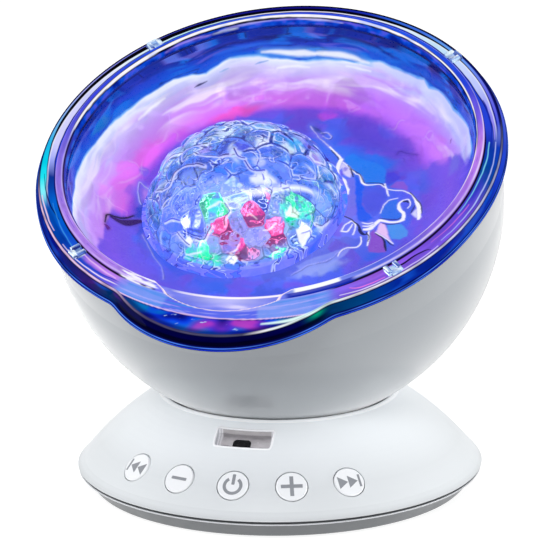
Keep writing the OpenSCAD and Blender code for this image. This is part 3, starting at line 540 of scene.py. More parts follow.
def ring_paint(zone, q, phi, P):
    """Colour of the cover ring, all painted light and shade of the lamps inside caught in its clear plastic: deep blue
    outside, violet and cyan on the shelf, bright lines of painted highlight at the edges.
    """
    x, y = P[:, 0], P[:, 1]
    rad = np.hypot(x, y)
    lobe = band(phi, 0, 23, 5)
    backside = smooth(116, 134, np.abs(phi))
    n1 = around(phi, 11, 1.3 + q)
    n2 = around(phi, 5, 7.7 + 1.5 * q)
    pocket = np.hypot(x, y + 35.3) - 24.3
    if zone == "under":
        return ramp(n1, [(-0.6, (6, 10, 80)), (0.6, (18, 42, 160))])
    if zone == "lip":
        c = ramp(around(phi, 14, 3.1), [(-0.5, (18, 48, 196)), (0.5, (62, 116, 246))])
        c = mixc(c, lin(1, 1, 20), 1 - smooth(0.1, 0.3, q))
        c = mixc(c, lin(4, 6, 72), smooth(0.72, 0.92, q))
        return mixc(c, lin(2, 2, 24), backside * 0.95)
    if zone == "bevel":
        c = np.tile(lin(4, 7, 84), (len(phi), 1))
        c = mixc(c, lin(74, 128, 250), band(q, 0.5, 0.12, 0.16) * np.clip(0.7 + 0.7 * around(phi, 9, 5.5), 0, 1))
        return mixc(c, lin(2, 2, 24), backside * 0.95)
    if zone == "band":
        c = ramp(phi, BAND) * (1 + 0.3 * n1)[:, None]
        c = mixc(c, lin(18, 84, 212), 0.55 * smooth(0.15, 0.6, around(phi, 13, 2.2 + q)) * (1 - lobe) * (1 - backside))
        c = mixc(c, lin(70, 20, 130), 0.5 * smooth(0.25, 0.6, around(phi, 8, 9.2 + q)) * band(phi, -36, 9, 8))
        c = mixc(c, lin(0, 0, 16), 0.8 * lobe * band(q, 0.3, 0.14, 0.2))
        c = mixc(c, lin(0, 168, 120), 0.8 * np.exp(-((phi - 23.5) / 1.7) ** 2) * smooth(0.4, 0.9, q))
        c = mixc(c, lin(2, 3, 52), 0.85 * smooth(0.88, 0.97, q))
        return mixc(c, lin(3, 6, 66), 0.8 * (1 - smooth(0.02, 0.1, q)))
    if zone == "edge":
        # a painted highlight along the top edge, its colour changing round the ring, over a dark line of painted shade
        hi = np.interp(phi, [e[0] for e in EDGE_ON], [e[1] for e in EDGE_ON]) * np.clip(0.85 + 0.5 * n2, 0, 1) * band(q, 0.62, 0.3, 0.2)
        c = np.tile(lin(5, 7, 70), (len(phi), 1))
        c = mixc(c, lin(1, 1, 22), backside)
        tint = ramp(phi, [(-70, (245, 205, 236)), (-26, (240, 205, 246)), (10, (252, 250, 255)), (24, (225, 255, 250)), (34, (246, 240, 255)), (100, (190, 196, 250))])
        return c + (tint - c) * hi[:, None]
    if zone == "shelf":
        drift = q + 0.05 * around(phi, 20, 3.3) + 0.03 * n2
        c = mixc(ramp(phi + 2 * n1, OUTER), ramp(phi + 3 * n2, INNER), smooth(0.34, 0.62, drift))
        c = c * (1 + 0.2 * around(phi, 12, 4 + 3.5 * q))[:, None]
        side = 1 - band(phi, 0, 26, 4)
        far = np.where(phi < 0, smooth(-64, -72, phi), smooth(97, 106, phi))
        c = mixc(c, far_shelf(q + 0.02 * n2 * smooth(0.3, 0.5, q), phi + 1.5 * n1), far)
        for pts, col in SHELF_LINES:
            cov = stroke(phi * 1.03, drift * 4.13, [(f * 1.03, s * 4.13, w) for f, s, w in pts], 0.14)
            c = mixc(c, lin(*col), cov * side)
        c = mixc(c, lin(3, 3, 40), side * (1 - far) * 0.9 * (1 - smooth(0.03, 0.07, q)))
        c = mixc(c, lin(2, 2, 26), 0.97 * smooth(0.93, 0.97, q) * side * (1 - far))
        # the finger lip: patches of painted light outside the bowl's rim, a pale line along the rim, plain painted
        # light with painted streaks inside it
        front = band(phi + 1.2 * n2, 0, 25, 6)
        slow = fbm(np.stack([x * 0.1, y * 0.2, 0 * x], -1) + 7, 2)
        hue = fbm(np.stack([x * 0.075, y * 0.16, 0 * x], -1) + 19, 2)
        patch = ramp(slow, [(-0.6, (8, 14, 120)), (-0.2, (8, 46, 205)), (0.1, (14, 74, 232)), (0.4, (20, 110, 215)), (0.7, (60, 150, 220))])
        patch = mixc(patch, lin(104, 44, 196), 0.8 * smooth(0.12, 0.5, hue))
        patch = mixc(patch, lin(190, 60, 190), 0.75 * smooth(0.4, 0.65, hue))
        patch = mixc(patch, lin(0, 122, 170), 0.7 * smooth(0.2, 0.55, -hue))
        glint = smooth(0.62, 0.8, fbm(np.stack([x * 0.42, y * 1.1, 0 * x], -1) + 43, 2))
        patch = mixc(patch, lin(190, 225, 255), 0.85 * glint)
        rim = np.hypot(x - 2.4, y + 1.2) - 61.2
        c = mixc(c, patch, front * smooth(-0.1, 0.25, rim))
        c = mixc(c, lin(6, 8, 92), front * 0.75 * smooth(0, 1.5, rad - outline(phi, -2.4)) * smooth(-0.1, 0.4, rim))
        inner = front * smooth(0.1, -0.25, rim)
        facet = smooth(0.0, 0.3, around(phi, 16, 6.1) + 0.25)
        plain = mixc(np.tile(lin(92, 106, 236), (len(phi), 1)), lin(120, 150, 242), facet)
        streak = fbm(np.stack([x * 0.05, (rad - 56) * 0.9, 0 * x], -1) + 63, 3)
        plain = mixc(plain, lin(60, 140, 232), 0.6 * smooth(0.2, 0.55, streak))
        plain = mixc(plain, lin(176, 176, 250), 0.6 * smooth(0.25, 0.55, -streak))
        c = mixc(c, plain, inner)
        c = mixc(c, lin(236, 200, 240), front * 0.9 * band(rim, 0, 0.1, 0.16))
        c = mixc(c, lin(24, 20, 110), front * 0.6 * band(rim, 0.42, 0.1, 0.16))
        # a painted highlight along the lip's right side
        c = mixc(c, lin(225, 255, 250), 0.95 * stroke(phi * 1.1, rad, [(11 * 1.1, 64.6, 0.5), (17 * 1.1, 64.4, 1.0), (22 * 1.1, 63.4, 1.3), (26 * 1.1, 61.9, 1.4), (29 * 1.1, 60.6, 0.8)], 0.3) * front)
        return pocket_paint(c, x, y, phi, pocket)
    # ridge
    c = ramp(phi + 2 * n1, RIDGE) * (1 + 0.2 * n2)[:, None]
    away = 1 - band(phi, 0, 17.5, 1.5)
    white_line = np.clip(0.75 + 0.7 * n1, 0, 1) * (1 - 0.55 * band(phi, -68, 26, 8))
    far = smooth(90, 99, np.abs(phi))
    if zone == "out":
        c = mixc(c, lin(2, 2, 26), 0.97 * (1 - smooth(0.3, 0.5, q)) * away)
        c = mixc(c, lin(240, 228, 252), 0.8 * band(q, 0.75, 0.1, 0.12) * white_line * away)
    if zone == "top":
        c = mixc(c, lin(250, 240, 252), 0.9 * smooth(0.84, 0.92, q) * white_line * away)
        c = mixc(c, lin(70, 60, 180), 0.5 * band(q, 0.4, 0.06, 0.1) * smooth(-0.1, 0.3, n2) * away * (1 - backside))
    # painted white glints on the ridge left of the pocket, a painted white highlight bar on its top right of the
    # pocket, and a blue band on the outer side there
    ridge_glints = smooth(-0.2, 0.3, around(phi, 5, 15.1 + 2.0 * q)) * band(phi, -23.5, 5, 2.0)
    bar = band(phi, 25.5, 5.5, 1.2)
    if zone in ("out", "top"):
        c = mixc(c, lin(248, 246, 255), 0.95 * ridge_glints)
        c = mixc(c, lin(250, 252, 255), bar * (1.0 if zone == "top" else 0.0))
        c = mixc(c, lin(14, 40, 176), band(phi, 26, 8, 2) * (0.9 if zone == "out" else 0.0))
    if zone == "in":
        c = mixc(c, lin(246, 244, 255), 0.7 * band(q, 0.1, 0.03, 0.05) * white_line * away)
        c = mixc(c, lin(2, 2, 34), 0.97 * band(q, 0.36, 0.12, 0.08) * away)
        c = mixc(c, mixc(np.tile(lin(18, 50, 176), (len(phi), 1)), lin(20, 110, 226), smooth(-0.1, 0.4, n2)), 0.85 * smooth(0.5, 0.62, q) * away)
    if zone in ("top", "in"):
        c = mixc(c, far_ridge(q if zone == "top" else 1 + 1.3 * q, phi, P, n1, n2), far)
    c = pocket_paint(c, x, y, phi, pocket)
    if zone == "in":
        line = np.interp(phi, [-15, -12, -4, 4, 17, 19], [0, 0.55, 0.9, 1, 1, 0])
        c = mixc(c, lin(255, 246, 255), line * smooth(1.0, 0.7, q) * (1 - smooth(0.95, 1.0, 1 - q)))
    return c


def pocket_paint(c, x, y, phi, d):
    """The shallow finger pocket at the front, in painted light: a blue-lavender dish with a pale painted glow down its
    middle, and a thin outline of painted highlight and painted shade.
    """
    ok = band(phi, 0, 22, 2.5)
    haze = fbm(np.stack([x * 0.06, y * 0.3, 0 * x], -1) + 80, 3)
    dish = ramp(haze, [(-0.6, (92, 108, 232)), (-0.1, (112, 124, 240)), (0.25, (150, 150, 246)), (0.6, (214, 208, 255))])
    dish = mixc(dish, lin(232, 226, 255), 0.55 * np.exp(-((x - 1.5) / 9.0) ** 2) * smooth(-58.6, -55.0, y))
    c = mixc(c, dish, ok * smooth(0.1, -0.15, d))
    c = mixc(c, lin(16, 14, 96), ok * 0.9 * band(d, -0.3, 0.1, 0.14))
    return mixc(c, lin(252, 232, 246), ok * 0.95 * band(d, 0.05, 0.1, 0.14))


def build_ring():
    rows = ring_rows()
    V, C = [], []
    for zone, q, r, h in rows:
        P = polar(PHI, r, h)
        C.append(ring_paint(zone, np.full(PHI.shape, q), PHI, P))
        if zone in ("shelf", "out", "top", "in"):
            inside = 24.3 - np.hypot(P[:, 0], P[:, 1] + 35.3)
            w = smooth(0, 0.5, inside)
            P[:, 2] += (np.minimum(P[:, 2], 15.5) - P[:, 2]) * w
        V.append(P)
    V, C = np.concatenate(V), np.concatenate(C)
    faces = grid_faces(len(rows), len(PHI), loop=True)
    ob = make("cover_ring", V, faces.tolist(), sharp=40, paint=np.clip(C, 0, 1.2))
    # the ring's painted light and shade, shown mostly as glow
    cover(ob, painted("cover_painted_light", base=0.1, glow=0.92, rough=0.25, coat=0.02, coat_rough=0.05, fleck=0.05, spec=0.0))
    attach(ob, "head")
    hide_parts("clear_cover")
    return ob


# ---------------------------------------------------------------- cover: window
def clear_mat(name, tint, ior, rough, top=0.5):
    """Thin clear plastic: see-through, with gloss that grows towards grazing angles and fine moulding marks."""
    m = bpy.data.materials.new(name)
    m.use_nodes = True
    nt = m.node_tree
    nt.nodes.clear()
    out = nt.nodes.new("ShaderNodeOutputMaterial")
    mix = nt.nodes.new("ShaderNodeMixShader")
    see = nt.nodes.new("ShaderNodeBsdfTransparent")
    see.inputs["Color"].default_value = (*lin(*tint), 1)
    gl = nt.nodes.new("ShaderNodeBsdfGlossy")
    gl.inputs["Roughness"].default_value = rough
    fr = nt.nodes.new("ShaderNodeFresnel")
    fr.inputs["IOR"].default_value = ior
    geo = nt.nodes.new("ShaderNodeNewGeometry")
    inv = nt.nodes.new("ShaderNodeMath")
    inv.operation = "SUBTRACT"
    inv.inputs[0].default_value = 1.0
    nt.links.new(geo.outputs["Backfacing"], inv.inputs[1])
    mul = nt.nodes.new("ShaderNodeMath")
    mul.operation = "MULTIPLY"
    nt.links.new(fr.outputs[0], mul.inputs[0])
    nt.links.new(inv.outputs[0], mul.inputs[1])
    half = nt.nodes.new("ShaderNodeMath")
    half.operation = "MULTIPLY"
    half.inputs[1].default_value = top
    nt.links.new(mul.outputs[0], half.inputs[0])
    nt.links.new(half.outputs[0], mix.inputs["Fac"])
    nt.links.new(see.outputs[0], mix.inputs[1])
    nt.links.new(gl.outputs[0], mix.inputs[2])
    n = noise_node(nt, 60, 2)
    b = nt.nodes.new("ShaderNodeBump")
    b.inputs["Strength"].default_value = 0.08
    b.inputs["Distance"].default_value = 0.0004
    nt.links.new(n.outputs["Fac"], b.inputs["Height"])
    nt.links.new(b.outputs["Normal"], gl.inputs["Normal"])
    nt.links.new(mix.outputs[0], out.inputs["Surface"])
    return m


def lathe(name, profile, seg=192, cx=0.0, cy=0.0, place=HEAD, sharp=35, paint=None):
    """Closed turned shape; a profile that starts and ends on the axis (r = 0) gets end caps of triangles."""
    phi = np.arange(seg) / seg * 360
    prof = list(profile)
    start_axis, end_axis = prof[0][0] == 0, prof[-1][0] == 0
    body = prof[1 if start_axis else 0:len(prof) - 1 if end_axis else None]
    V = np.concatenate([polar(phi, np.full(seg, float(r)), np.full(seg, float(h)), cx, cy) for r, h in body])
    faces = grid_faces(len(body), seg, loop=not (start_axis or end_axis)).tolist()
    if start_axis:
        V = np.vstack([V, [cx, cy, prof[0][1]]])
        faces += [(len(V) - 1, (k + 1) % seg, k) for k in range(seg)]
    if end_axis:
        V = np.vstack([V, [cx, cy, prof[-1][1]]])
        base = (len(body) - 1) * seg
        faces += [(len(V) - 1, base + k, base + (k + 1) % seg) for k in range(seg)]
    return make(name, V, faces, place, sharp, None if paint is None else paint(V))


def build_window():
    top = [(r, 16 + 4.2 * (1 - (r / 54.1) ** 2)) for r in np.linspace(0, 53.95, 26)]
    low = [(r, 14.3 + 4.2 * (1 - (r / 54.1) ** 2)) for r in np.linspace(53.95, 0, 26)]
    ob = lathe("cover_window", top + low, seg=180)
    cover(ob, clear_mat("cover_clear", (252, 252, 255), 1.42, 0.02, 0.28))
    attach(ob, "head")
    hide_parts("clear_cover")
    return ob


# ---------------------------------------------------------------- cover catches
def block(x0, x1, y0, y1, z0, z1, b):
    """Box with bevelled edges, as points and faces (the bevel is one flat strip)."""
    V, key = [], {}
    for sx in (0, 1):
        for sy in (0, 1):
            for sz in (0, 1):
                c = [(x0, x1)[sx], (y0, y1)[sy], (z0, z1)[sz]]
                d = [(b, -b)[sx], (b, -b)[sy], (b, -b)[sz]]
                for ax in range(3):
                    key[sx, sy, sz, ax] = len(V)
                    V.append([c[k] + (0 if k == ax else d[k]) for k in range(3)])
    F = []
    for ax in range(3):
        o = [k for k in range(3) if k != ax]
        for s in (0, 1):
            def at(p, q, ax=ax, o=o, s=s):
                v = [0, 0, 0]
                v[ax], v[o[0]], v[o[1]] = s, p, q
                return key[(*v, ax)]
            quad = [at(0, 0), at(1, 0), at(1, 1), at(0, 1)]
            F.append(quad if (s == 1) == (ax != 1) else quad[::-1])
    for ax in range(3):
        o = [k for k in range(3) if k != ax]
        for p in (0, 1):
            for q in (0, 1):
                def at(t, which, ax=ax, o=o, p=p, q=q):
                    v = [0, 0, 0]
                    v[ax], v[o[0]], v[o[1]] = t, p, q
                    return key[(*v, which)]
                quad = [at(0, o[0]), at(1, o[0]), at(1, o[1]), at(0, o[1])]
                F.append(quad if ((p == q) == (ax != 1)) else quad[::-1])
    for sx in (0, 1):
        for sy in (0, 1):
            for sz in (0, 1):
                tri = [key[sx, sy, sz, 0], key[sx, sy, sz, 1], key[sx, sy, sz, 2]]
                F.append(tri if (sx + sy + sz) % 2 == 1 else tri[::-1])
    return np.array(V), F


def build_clips():
    V, F, C = [], [], []
    for k, ang in enumerate((45, 135, 225, 315)):
        a = math.radians(ang)
        rot = np.array([[math.cos(a), -math.sin(a), 0], [math.sin(a), math.cos(a), 0], [0, 0, 1]])
        for box in ((57.35, 60.2, -2.2, 2.2, 13.2, 16.5, 0.2), (56.9, 59.7, -2.0, -0.75, 15.6, 17.15, 0.22), (56.9, 59.7, 0.75, 2.0, 15.6, 17.15, 0.22), (59.0, 60.6, -1.5, 1.5, 15.2, 16.85, 0.25)):
            v, f = block(*box)
            o = sum(len(x) for x in V)
            # painted light: blue to white by noise, and whiter towards the tops as painted highlight
            up = smooth(15.6, 17.0, v[:, 2])
            n = perlin(v * 1.7 + 13 * k)
            c = mixc(ramp(n, [(-0.4, (8, 30, 130)), (-0.1, (40, 110, 220)), (0.15, (120, 200, 245)), (0.45, (236, 250, 255))]), lin(240, 250, 255), 0.8 * up * smooth(-0.25, 0.3, n))
            V.append(v @ rot.T)
            C.append(c)
            F += [[i + o for i in q] for q in f]
    ob = make("cover_catches", np.concatenate(V), F, sharp=20, paint=np.concatenate(C))
    cover(ob, painted("catch_painted_light", base=0.5, glow=0.5, rough=0.08, coat=1.0, coat_rough=0.02, fleck=0.25, fleck_scale=900))
    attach(ob, "head")
    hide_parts("cover_clips")
    return ob


# ---------------------------------------------------------------- reflector
LX, LY = -10.0, 1.5
BACKWALL = [(0.0, (5, 40, 164)), (0.05, (3, 60, 194)), (0.1, (0, 76, 212)), (0.154, (8, 92, 222)), (0.166, (150, 196, 252)), (0.174, (244, 249, 255)), (0.196, (228, 234, 255)), (0.24, (216, 210, 254)),
            (0.3, (208, 190, 252)), (0.38, (202, 160, 250)), (0.46, (204, 140, 246)), (0.54, (212, 120, 242)), (0.61, (214, 106, 238)), (0.655, (164, 82, 230)), (0.69, (118, 74, 220)),
            (0.82, (92, 74, 216)), (0.95, (64, 88, 228)), (1.08, (52, 108, 236)), (1.25, (84, 110, 240))]
# where the lit part of the wall begins: (angle, share of the way down)
SHORE = [(-180, 0.246), (-175, 0.251), (-169, 0.23), (-163, 0.185), (-158, 0.17), (-154, 0.161), (-149.5, 0.192), (-146, 0.222), (-142, 0.192), (-136, 0.169), (-129, 0.181), (-120, 0.181), (-110, 0.169), (-102, 0.164),
         (-93, 0.137), (-85, 0.139), (-81, 0.15), (-72, 0.112), (-58, 0.1), (0, 0.16), (103.6, 0.3), (107, 0.234), (111, 0.16), (115, 0.142), (118, 0.142), (126, 0.175), (130.6, 0.153), (136, 0.149), (140.5, 0.186),
         (142.5, 0.146), (145, 0.171), (151, 0.181), (155, 0.184), (160, 0.172), (163, 0.2), (167, 0.234), (173, 0.236), (180, 0.246)]
RIGHTWALL = [(0.0, (8, 14, 110)), (0.05, (6, 50, 176)), (0.1, (4, 82, 204)), (0.156, (10, 88, 214)), (0.17, (120, 150, 240)), (0.185, (204, 212, 254)), (0.23, (198, 204, 254)), (0.29, (186, 184, 251)),
             (0.36, (184, 152, 250)), (0.44, (186, 126, 248)), (0.53, (190, 114, 246)), (0.6, (176, 102, 238)), (0.65, (150, 86, 228)), (0.7, (118, 78, 222)), (0.82, (92, 76, 216)), (0.95, (64, 90, 228)),
             (1.08, (52, 108, 236)), (1.25, (84, 110, 240))]
FRONTWALL = [(0.0, (12, 18, 124)), (0.08, (40, 52, 202)), (0.25, (100, 80, 226)), (0.5, (122, 84, 230)), (0.75, (98, 86, 230)), (0.95, (70, 94, 234)), (1.15, (90, 108, 238)), (1.45, (120, 128, 244))]
# soft patches high on the wall: (angle, share of the way down, half sizes in mm, colour, strength)
GLOW = [(-151.5, 0.63, 8, 1.7, (252, 74, 190), 0.6), (175, 0.575, 8, 2.4, (192, 104, 236), 0.65), (-96, 0.53, 4, 3.2, (228, 108, 238), 0.6), (-112, 0.56, 6, 2.6, (238, 94, 236), 0.55),
        (159, 0.54, 7, 2.6, (178, 104, 244), 0.65), (133, 0.53, 7, 2.6, (188, 114, 246), 0.65), (121, 0.5, 5, 2.8, (200, 120, 242), 0.65), (-126, 0.62, 6, 1.6, (200, 86, 240), 0.5),
        (173, 0.74, 4, 1.3, (190, 70, 220), 0.6), (100, 0.68, 5, 2.6, (120, 72, 218), 0.45), (-88, 0.44, 3, 2.2, (236, 132, 246), 0.45), (-108, 0.1, 4, 1.2, (0, 128, 190), 0.5),
        (-103, 0.47, 2.2, 1.8, (232, 104, 234), 0.5), (-105, 0.64, 2.6, 1.8, (100, 92, 226), 0.65), (-92, 0.63, 2.2, 1.8, (128, 82, 232), 0.55), (109, 0.42, 3.0, 2.6, (112, 110, 222), 0.7)]
# patches low on the wall and on the floor: (x, y, half sizes, turn in degrees, colour, strength)
POOLS = [(18.0, 31.8, 7.5, 4.6, -28, (86, 62, 204), 0.65), (27.2, 27.2, 4.2, 2.8, -40, (90, 68, 208), 0.55), (20.6, 21.2, 6.6, 2.9, -8, (28, 112, 238), 0.85), (28.6, 16.4, 2.7, 1.5, -25, (94, 58, 204), 0.7),
         (34.6, 16.4, 2.6, 2.4, 0, (88, 96, 224), 0.5),          (35.0, 4.6, 1.6, 3.6, 12, (70, 84, 226), 0.6),          (14.0, -20.6, 6.5, 2.2, 24, (170, 190, 250), 0.6), (-36.8, -2.8, 1.5, 2.2, 0, (16, 64, 196), 0.85),
         (-35.0, -9.4, 1.3, 3.4, -14, (22, 74, 216), 0.6), (-26.0, -20.6, 2.4, 5.2, 40, (48, 92, 230), 0.6), (-36.4, 4.4, 1.6, 3.0, 0, (206, 150, 246), 0.5), (4.5, 31.6, 1.6, 0.7, -30, (150, 96, 226), 0.6)]
# light bent by the lens, as bright edges on the floor: (x, y, width in mm) points and a strength
RIBBONS = [([(1.0, 34.9, 0.25), (3.0, 32.2, 0.3), (5.8, 29.0, 0.4), (8.0, 27.0, 0.4)], 1.0),
           ([(4.2, 32.5, 0.15), (6.1, 32.6, 0.22), (7.6, 30.9, 0.25), (6.9, 30.1, 0.2), (5.1, 31.4, 0.15)], 0.8),
           ([(-34.8, -12.1, 0.15), (-30.8, -18.4, 0.22), (-26.6, -24.0, 0.25), (-24.8, -29.0, 0.15)], 0.5), ([(-38.1, -0.5, 0.15), (-38.9, 1.0, 0.25), (-40.1, 4.2, 0.3), (-40.3, 7.4, 0.2), (-38.8, 6.3, 0.25), (-37.3, 5.6, 0.3)], 0.7),
           ([(20.0, -12.6, 0.15), (16.4, -17.4, 0.25), (12.0, -19.6, 0.25), (8.4, -23.6, 0.15)], 0.5)]
# the thick band of painted light to the right of the lens: bright strokes, and the dark edges beside them as painted
# shade, (x, y, width in mm)
WHITES = [[(8.0, 27.0, 0.33), (9.7, 25.2, 0.37), (11.4, 23.3, 0.53), (12.3, 22.0, 0.82)],
          [(12.3, 22.0, 1.0), (11.9, 20.1, 1.0), (12.0, 17.6, 0.8), (13.2, 15.6, 0.7), (14.6, 14.1, 0.6), (15.5, 12.0, 0.7), (16.4, 9.9, 0.9), (17.0, 8.5, 0.3)],
          [(12.9, 21.1, 0.2), (14.9, 19.4, 0.24), (16.3, 17.9, 0.3), (17.4, 16.7, 0.24), (18.1, 16.5, 0.2), (19.0, 15.4, 0.45), (20.0, 13.3, 0.6), (21.0, 12.6, 0.37), (22.4, 12.7, 0.24), (23.6, 13.0, 0.24), (24.7, 13.0, 0.2), (25.9, 11.9, 0.3)],
          [(25.8, 13.4, 0.33), (26.2, 12.2, 0.4), (26.9, 11.0, 0.45), (27.9, 8.6, 0.2)],
          [(26.9, 11.2, 0.16), (28.8, 11.0, 0.16), (31.2, 10.6, 0.16), (33.7, 9.4, 0.24), (35.1, 7.7, 0.45), (36.4, 5.5, 1.0), (37.3, 3.3, 1.1), (37.8, 0.8, 0.9), (37.8, -0.8, 0.5)],
          [(32.3, 7.1, 0.24), (33.3, 7.5, 0.2), (34.2, 6.3, 0.2), (34.4, 5.1, 0.2), (33.9, 4.0, 0.16)],
          [(32.3, 7.1, 0.3), (31.4, 6.1, 0.5), (31.6, 4.3, 0.8), (32.5, 2.8, 0.7), (33.2, 1.9, 0.8), (33.7, 0.1, 0.9), (33.2, -0.8, 0.7)],
          [(33.8, -0.7, 0.7), (32.3, -1.5, 0.6), (30.3, -1.6, 0.6), (28.3, -1.3, 0.7), (27.3, -1.4, 0.9), (26.4, -2.9, 1.0), (25.5, -4.5, 1.0), (24.1, -4.9, 0.6)],
          [(23.0, -2.4, 0.16), (24.7, -2.7, 0.3), (25.8, -2.2, 0.2)], [(23.5, -3.7, 0.2), (24.9, -3.6, 0.37), (26.0, -2.9, 0.2)],
          [(18.1, -5.9, 0.33), (18.7, -3.5, 0.3), (20.2, -1.9, 0.33), (21.3, -3.3, 0.3), (21.6, -5.7, 0.24), (21.4, -6.9, 0.2)], [(18.1, -5.9, 0.3), (19.8, -5.8, 0.33), (20.4, -3.1, 0.2)],
          [(25.5, -5.6, 0.3), (25.9, -8.3, 0.33), (26.2, -10.9, 0.24)], [(27.1, 1.6, 0.1), (27.4, 4.7, 0.12), (28.5, 7.2, 0.12), (30.5, 7.9, 0.1)], [(27.4, -5.8, 0.16), (30.2, -7.7, 0.16), (33.0, -9.8, 0.12)],
          [(23.6, -7.9, 0.16), (24.2, -10.2, 0.24), (23.3, -12.0, 0.3), (21.1, -12.4, 0.2), (19.7, -13.4, 0.2), (19.3, -15.6, 0.16)]]
# the dark edges beside the bright strokes, as painted shade: (x, y, width in mm) points
DARKS = [[(8.7, 25.8, 0.16), (10.2, 24.0, 0.2), (11.5, 22.2, 0.16)], [(14.4, 20.0, 0.12), (16.0, 18.4, 0.2), (18.2, 16.8, 0.16), (19.4, 15.1, 0.16), (20.5, 13.3, 0.16)], [(15.4, 18.6, 0.2), (16.3, 17.0, 0.33), (16.8, 15.5, 0.16)],
         [(21.0, 13.3, 0.1), (22.8, 13.7, 0.16), (24.7, 13.6, 0.18), (25.9, 12.5, 0.14)], [(33.6, 9.8, 0.14), (35.6, 7.5, 0.2), (37.7, 4.4, 0.24), (38.4, 1.3, 0.1)], [(32.5, 6.7, 0.5), (33.2, 6.7, 0.55), (33.7, 6.2, 0.3)],
         [(35.8, 4.7, 0.14), (35.5, 2.8, 0.24), (35.2, 1.9, 0.14)], [(15.9, 0.5, 0.2), (17.8, -0.2, 0.24), (19.9, -1.3, 0.24), (21.1, -2.4, 0.3), (22.4, -3.8, 0.45), (23.2, -5.5, 0.8), (24.3, -6.7, 0.7), (25.3, -6.6, 0.3)],
         [(27.4, -0.6, 0.1), (29.7, -0.6, 0.14), (32.1, -0.6, 0.14), (33.0, 0.3, 0.1)], [(28.5, -2.3, 0.1), (30.8, -2.4, 0.14), (32.8, -2.0, 0.1)], [(27.4, -6.1, 0.14), (28.9, -7.2, 0.33), (30.1, -8.6, 0.53), (31.0, -11.0, 0.6), (31.6, -12.7, 0.24)],
         [(30.7, -8.4, 0.14), (32.1, -9.8, 0.24), (33.2, -10.5, 0.1)], [(25.0, -6.0, 0.3), (25.8, -7.4, 0.18), (25.9, -9.5, 0.12)]]
# shapes with one colour between the strokes: corners, colour, strength
BASINS = [([(15.0, 14.1), (17.1, 15.2), (18.5, 10.4), (20.0, 4.4), (20.7, 1.5), (20.0, -1.0), (17.7, 0.0), (16.2, 1.4), (16.3, 5.7), (16.1, 8.7), (17.1, 8.2)], (116, 114, 232), 0.75),
          ([(12.8, 22.6), (14.7, 24.6), (17.4, 22.7), (20.6, 21.6), (23.8, 20.6), (25.4, 18.5), (25.6, 13.6), (23.5, 13.5), (21.0, 13.3), (19.8, 15.1), (18.2, 16.8), (16.2, 18.5), (14.4, 20.0)], (28, 126, 240), 0.8),
          ([(17.4, 15.8), (19.0, 15.0), (20.6, 12.1), (20.8, 9.0), (21.6, 4.5), (23.8, 1.7), (25.4, -0.3), (24.2, -2.0), (22.0, -1.7), (20.7, 1.5), (19.6, 5.9), (18.5, 10.4)], (0, 88, 240), 0.9),
          ([(20.6, 12.1), (26.0, 11.2), (27.9, 8.3), (27.1, 5.0), (26.7, 1.6), (25.3, 0.3), (22.9, 3.1), (21.3, 6.0), (20.9, 9.7)], (70, 86, 228), 0.8),
          ([(27.4, 4.4), (28.6, 6.9), (30.5, 7.6), (31.5, 3.7), (32.7, 1.9), (33.1, -0.2), (28.4, -0.7), (27.2, 0.4)], (42, 114, 234), 0.85),
          ([(33.9, 8.7), (35.3, 6.8), (35.9, 4.6), (35.4, 2.1), (33.8, 1.3), (33.0, 3.7), (34.4, 5.1), (34.1, 6.9)], (64, 92, 228), 0.8),
          ([(29.7, -2.7), (33.3, -2.4), (35.7, -4.9), (36.2, -7.4), (34.1, -8.4), (32.0, -8.0), (30.1, -4.7)], (72, 154, 238), 0.85),
          ([(27.5, -6.1), (29.7, -8.0), (31.1, -11.0), (31.7, -13.2), (29.8, -13.7), (27.3, -13.5), (26.4, -11.2), (26.2, -8.3), (26.0, -5.9), (26.7, -4.7)], (146, 74, 196), 0.8),
          ([(27.7, -2.2), (29.0, -2.4), (30.1, -4.7), (31.1, -7.1), (32.7, -9.5), (30.2, -7.7), (27.4, -5.8)], (238, 200, 244), 0.95),
          ([(25.5, 17.9), (27.4, 17.9), (30.0, 15.9), (28.6, 14.4), (27.0, 12.8), (25.8, 13.7)], (62, 62, 220), 0.75), ([(27.5, 12.2), (28.8, 14.4), (30.7, 14.1), (32.4, 12.0), (32.9, 10.2), (30.9, 11.2)], (142, 84, 206), 0.75),
          ([(11.8, 22.2), (13.0, 21.1), (15.2, 19.1), (16.3, 16.7), (16.2, 15.1), (15.0, 15.7), (13.7, 17.1), (13.1, 18.9), (12.6, 17.6), (11.9, 17.6), (11.8, 20.4)], (222, 214, 250), 0.9),
          ([(13.5, 18.4), (13.9, 19.3), (14.7, 18.9), (14.7, 17.8), (14.2, 17.2), (13.7, 17.6)], (128, 118, 226), 0.8), ([(35.5, 1.6), (36.4, 3.4), (37.3, 4.2), (38.5, 0.1), (38.1, -1.0), (36.8, 0.2)], (226, 226, 252), 0.85),
          ([(9.0, -20.2), (13.0, -16.6), (18.4, -13.4), (22.2, -12.4), (21.0, -15.4), (17.4, -19.4), (12.4, -23.2)], (150, 166, 248), 0.6)]
# dark strokes of painted shade: (x, y, width in mm) points, a colour and a strength
SHADE_STROKES = [([(-44.6, -12.0, 0.3), (-45.1, -8.6, 0.45), (-43.1, -7.9, 0.6), (-40.8, -7.0, 0.6), (-38.9, -5.4, 0.4)], (16, 2, 52), 0.97), ([(-44.0, -8.6, 0.5), (-41.6, -8.9, 1.5), (-39.6, -8.6, 2.4), (-37.6, -7.4, 1.7), (-35.8, -7.0, 0.6)], (46, 6, 96), 0.95),
         ([(-44.3, -12.9, 0.6), (-43.4, -13.6, 0.9), (-43.3, -14.3, 0.3)], (92, 14, 132), 0.9), ([(1.1, 35.0, 0.2), (2.7, 33.8, 1.1), (4.2, 32.7, 0.8), (5.3, 32.0, 0.2)], (10, 10, 92), 0.95),
         ([(27.2, 24.4, 0.15), (27.8, 25.5, 0.25), (29.7, 24.6, 0.22), (33.0, 23.3, 0.15)], (64, 36, 160), 0.7)]
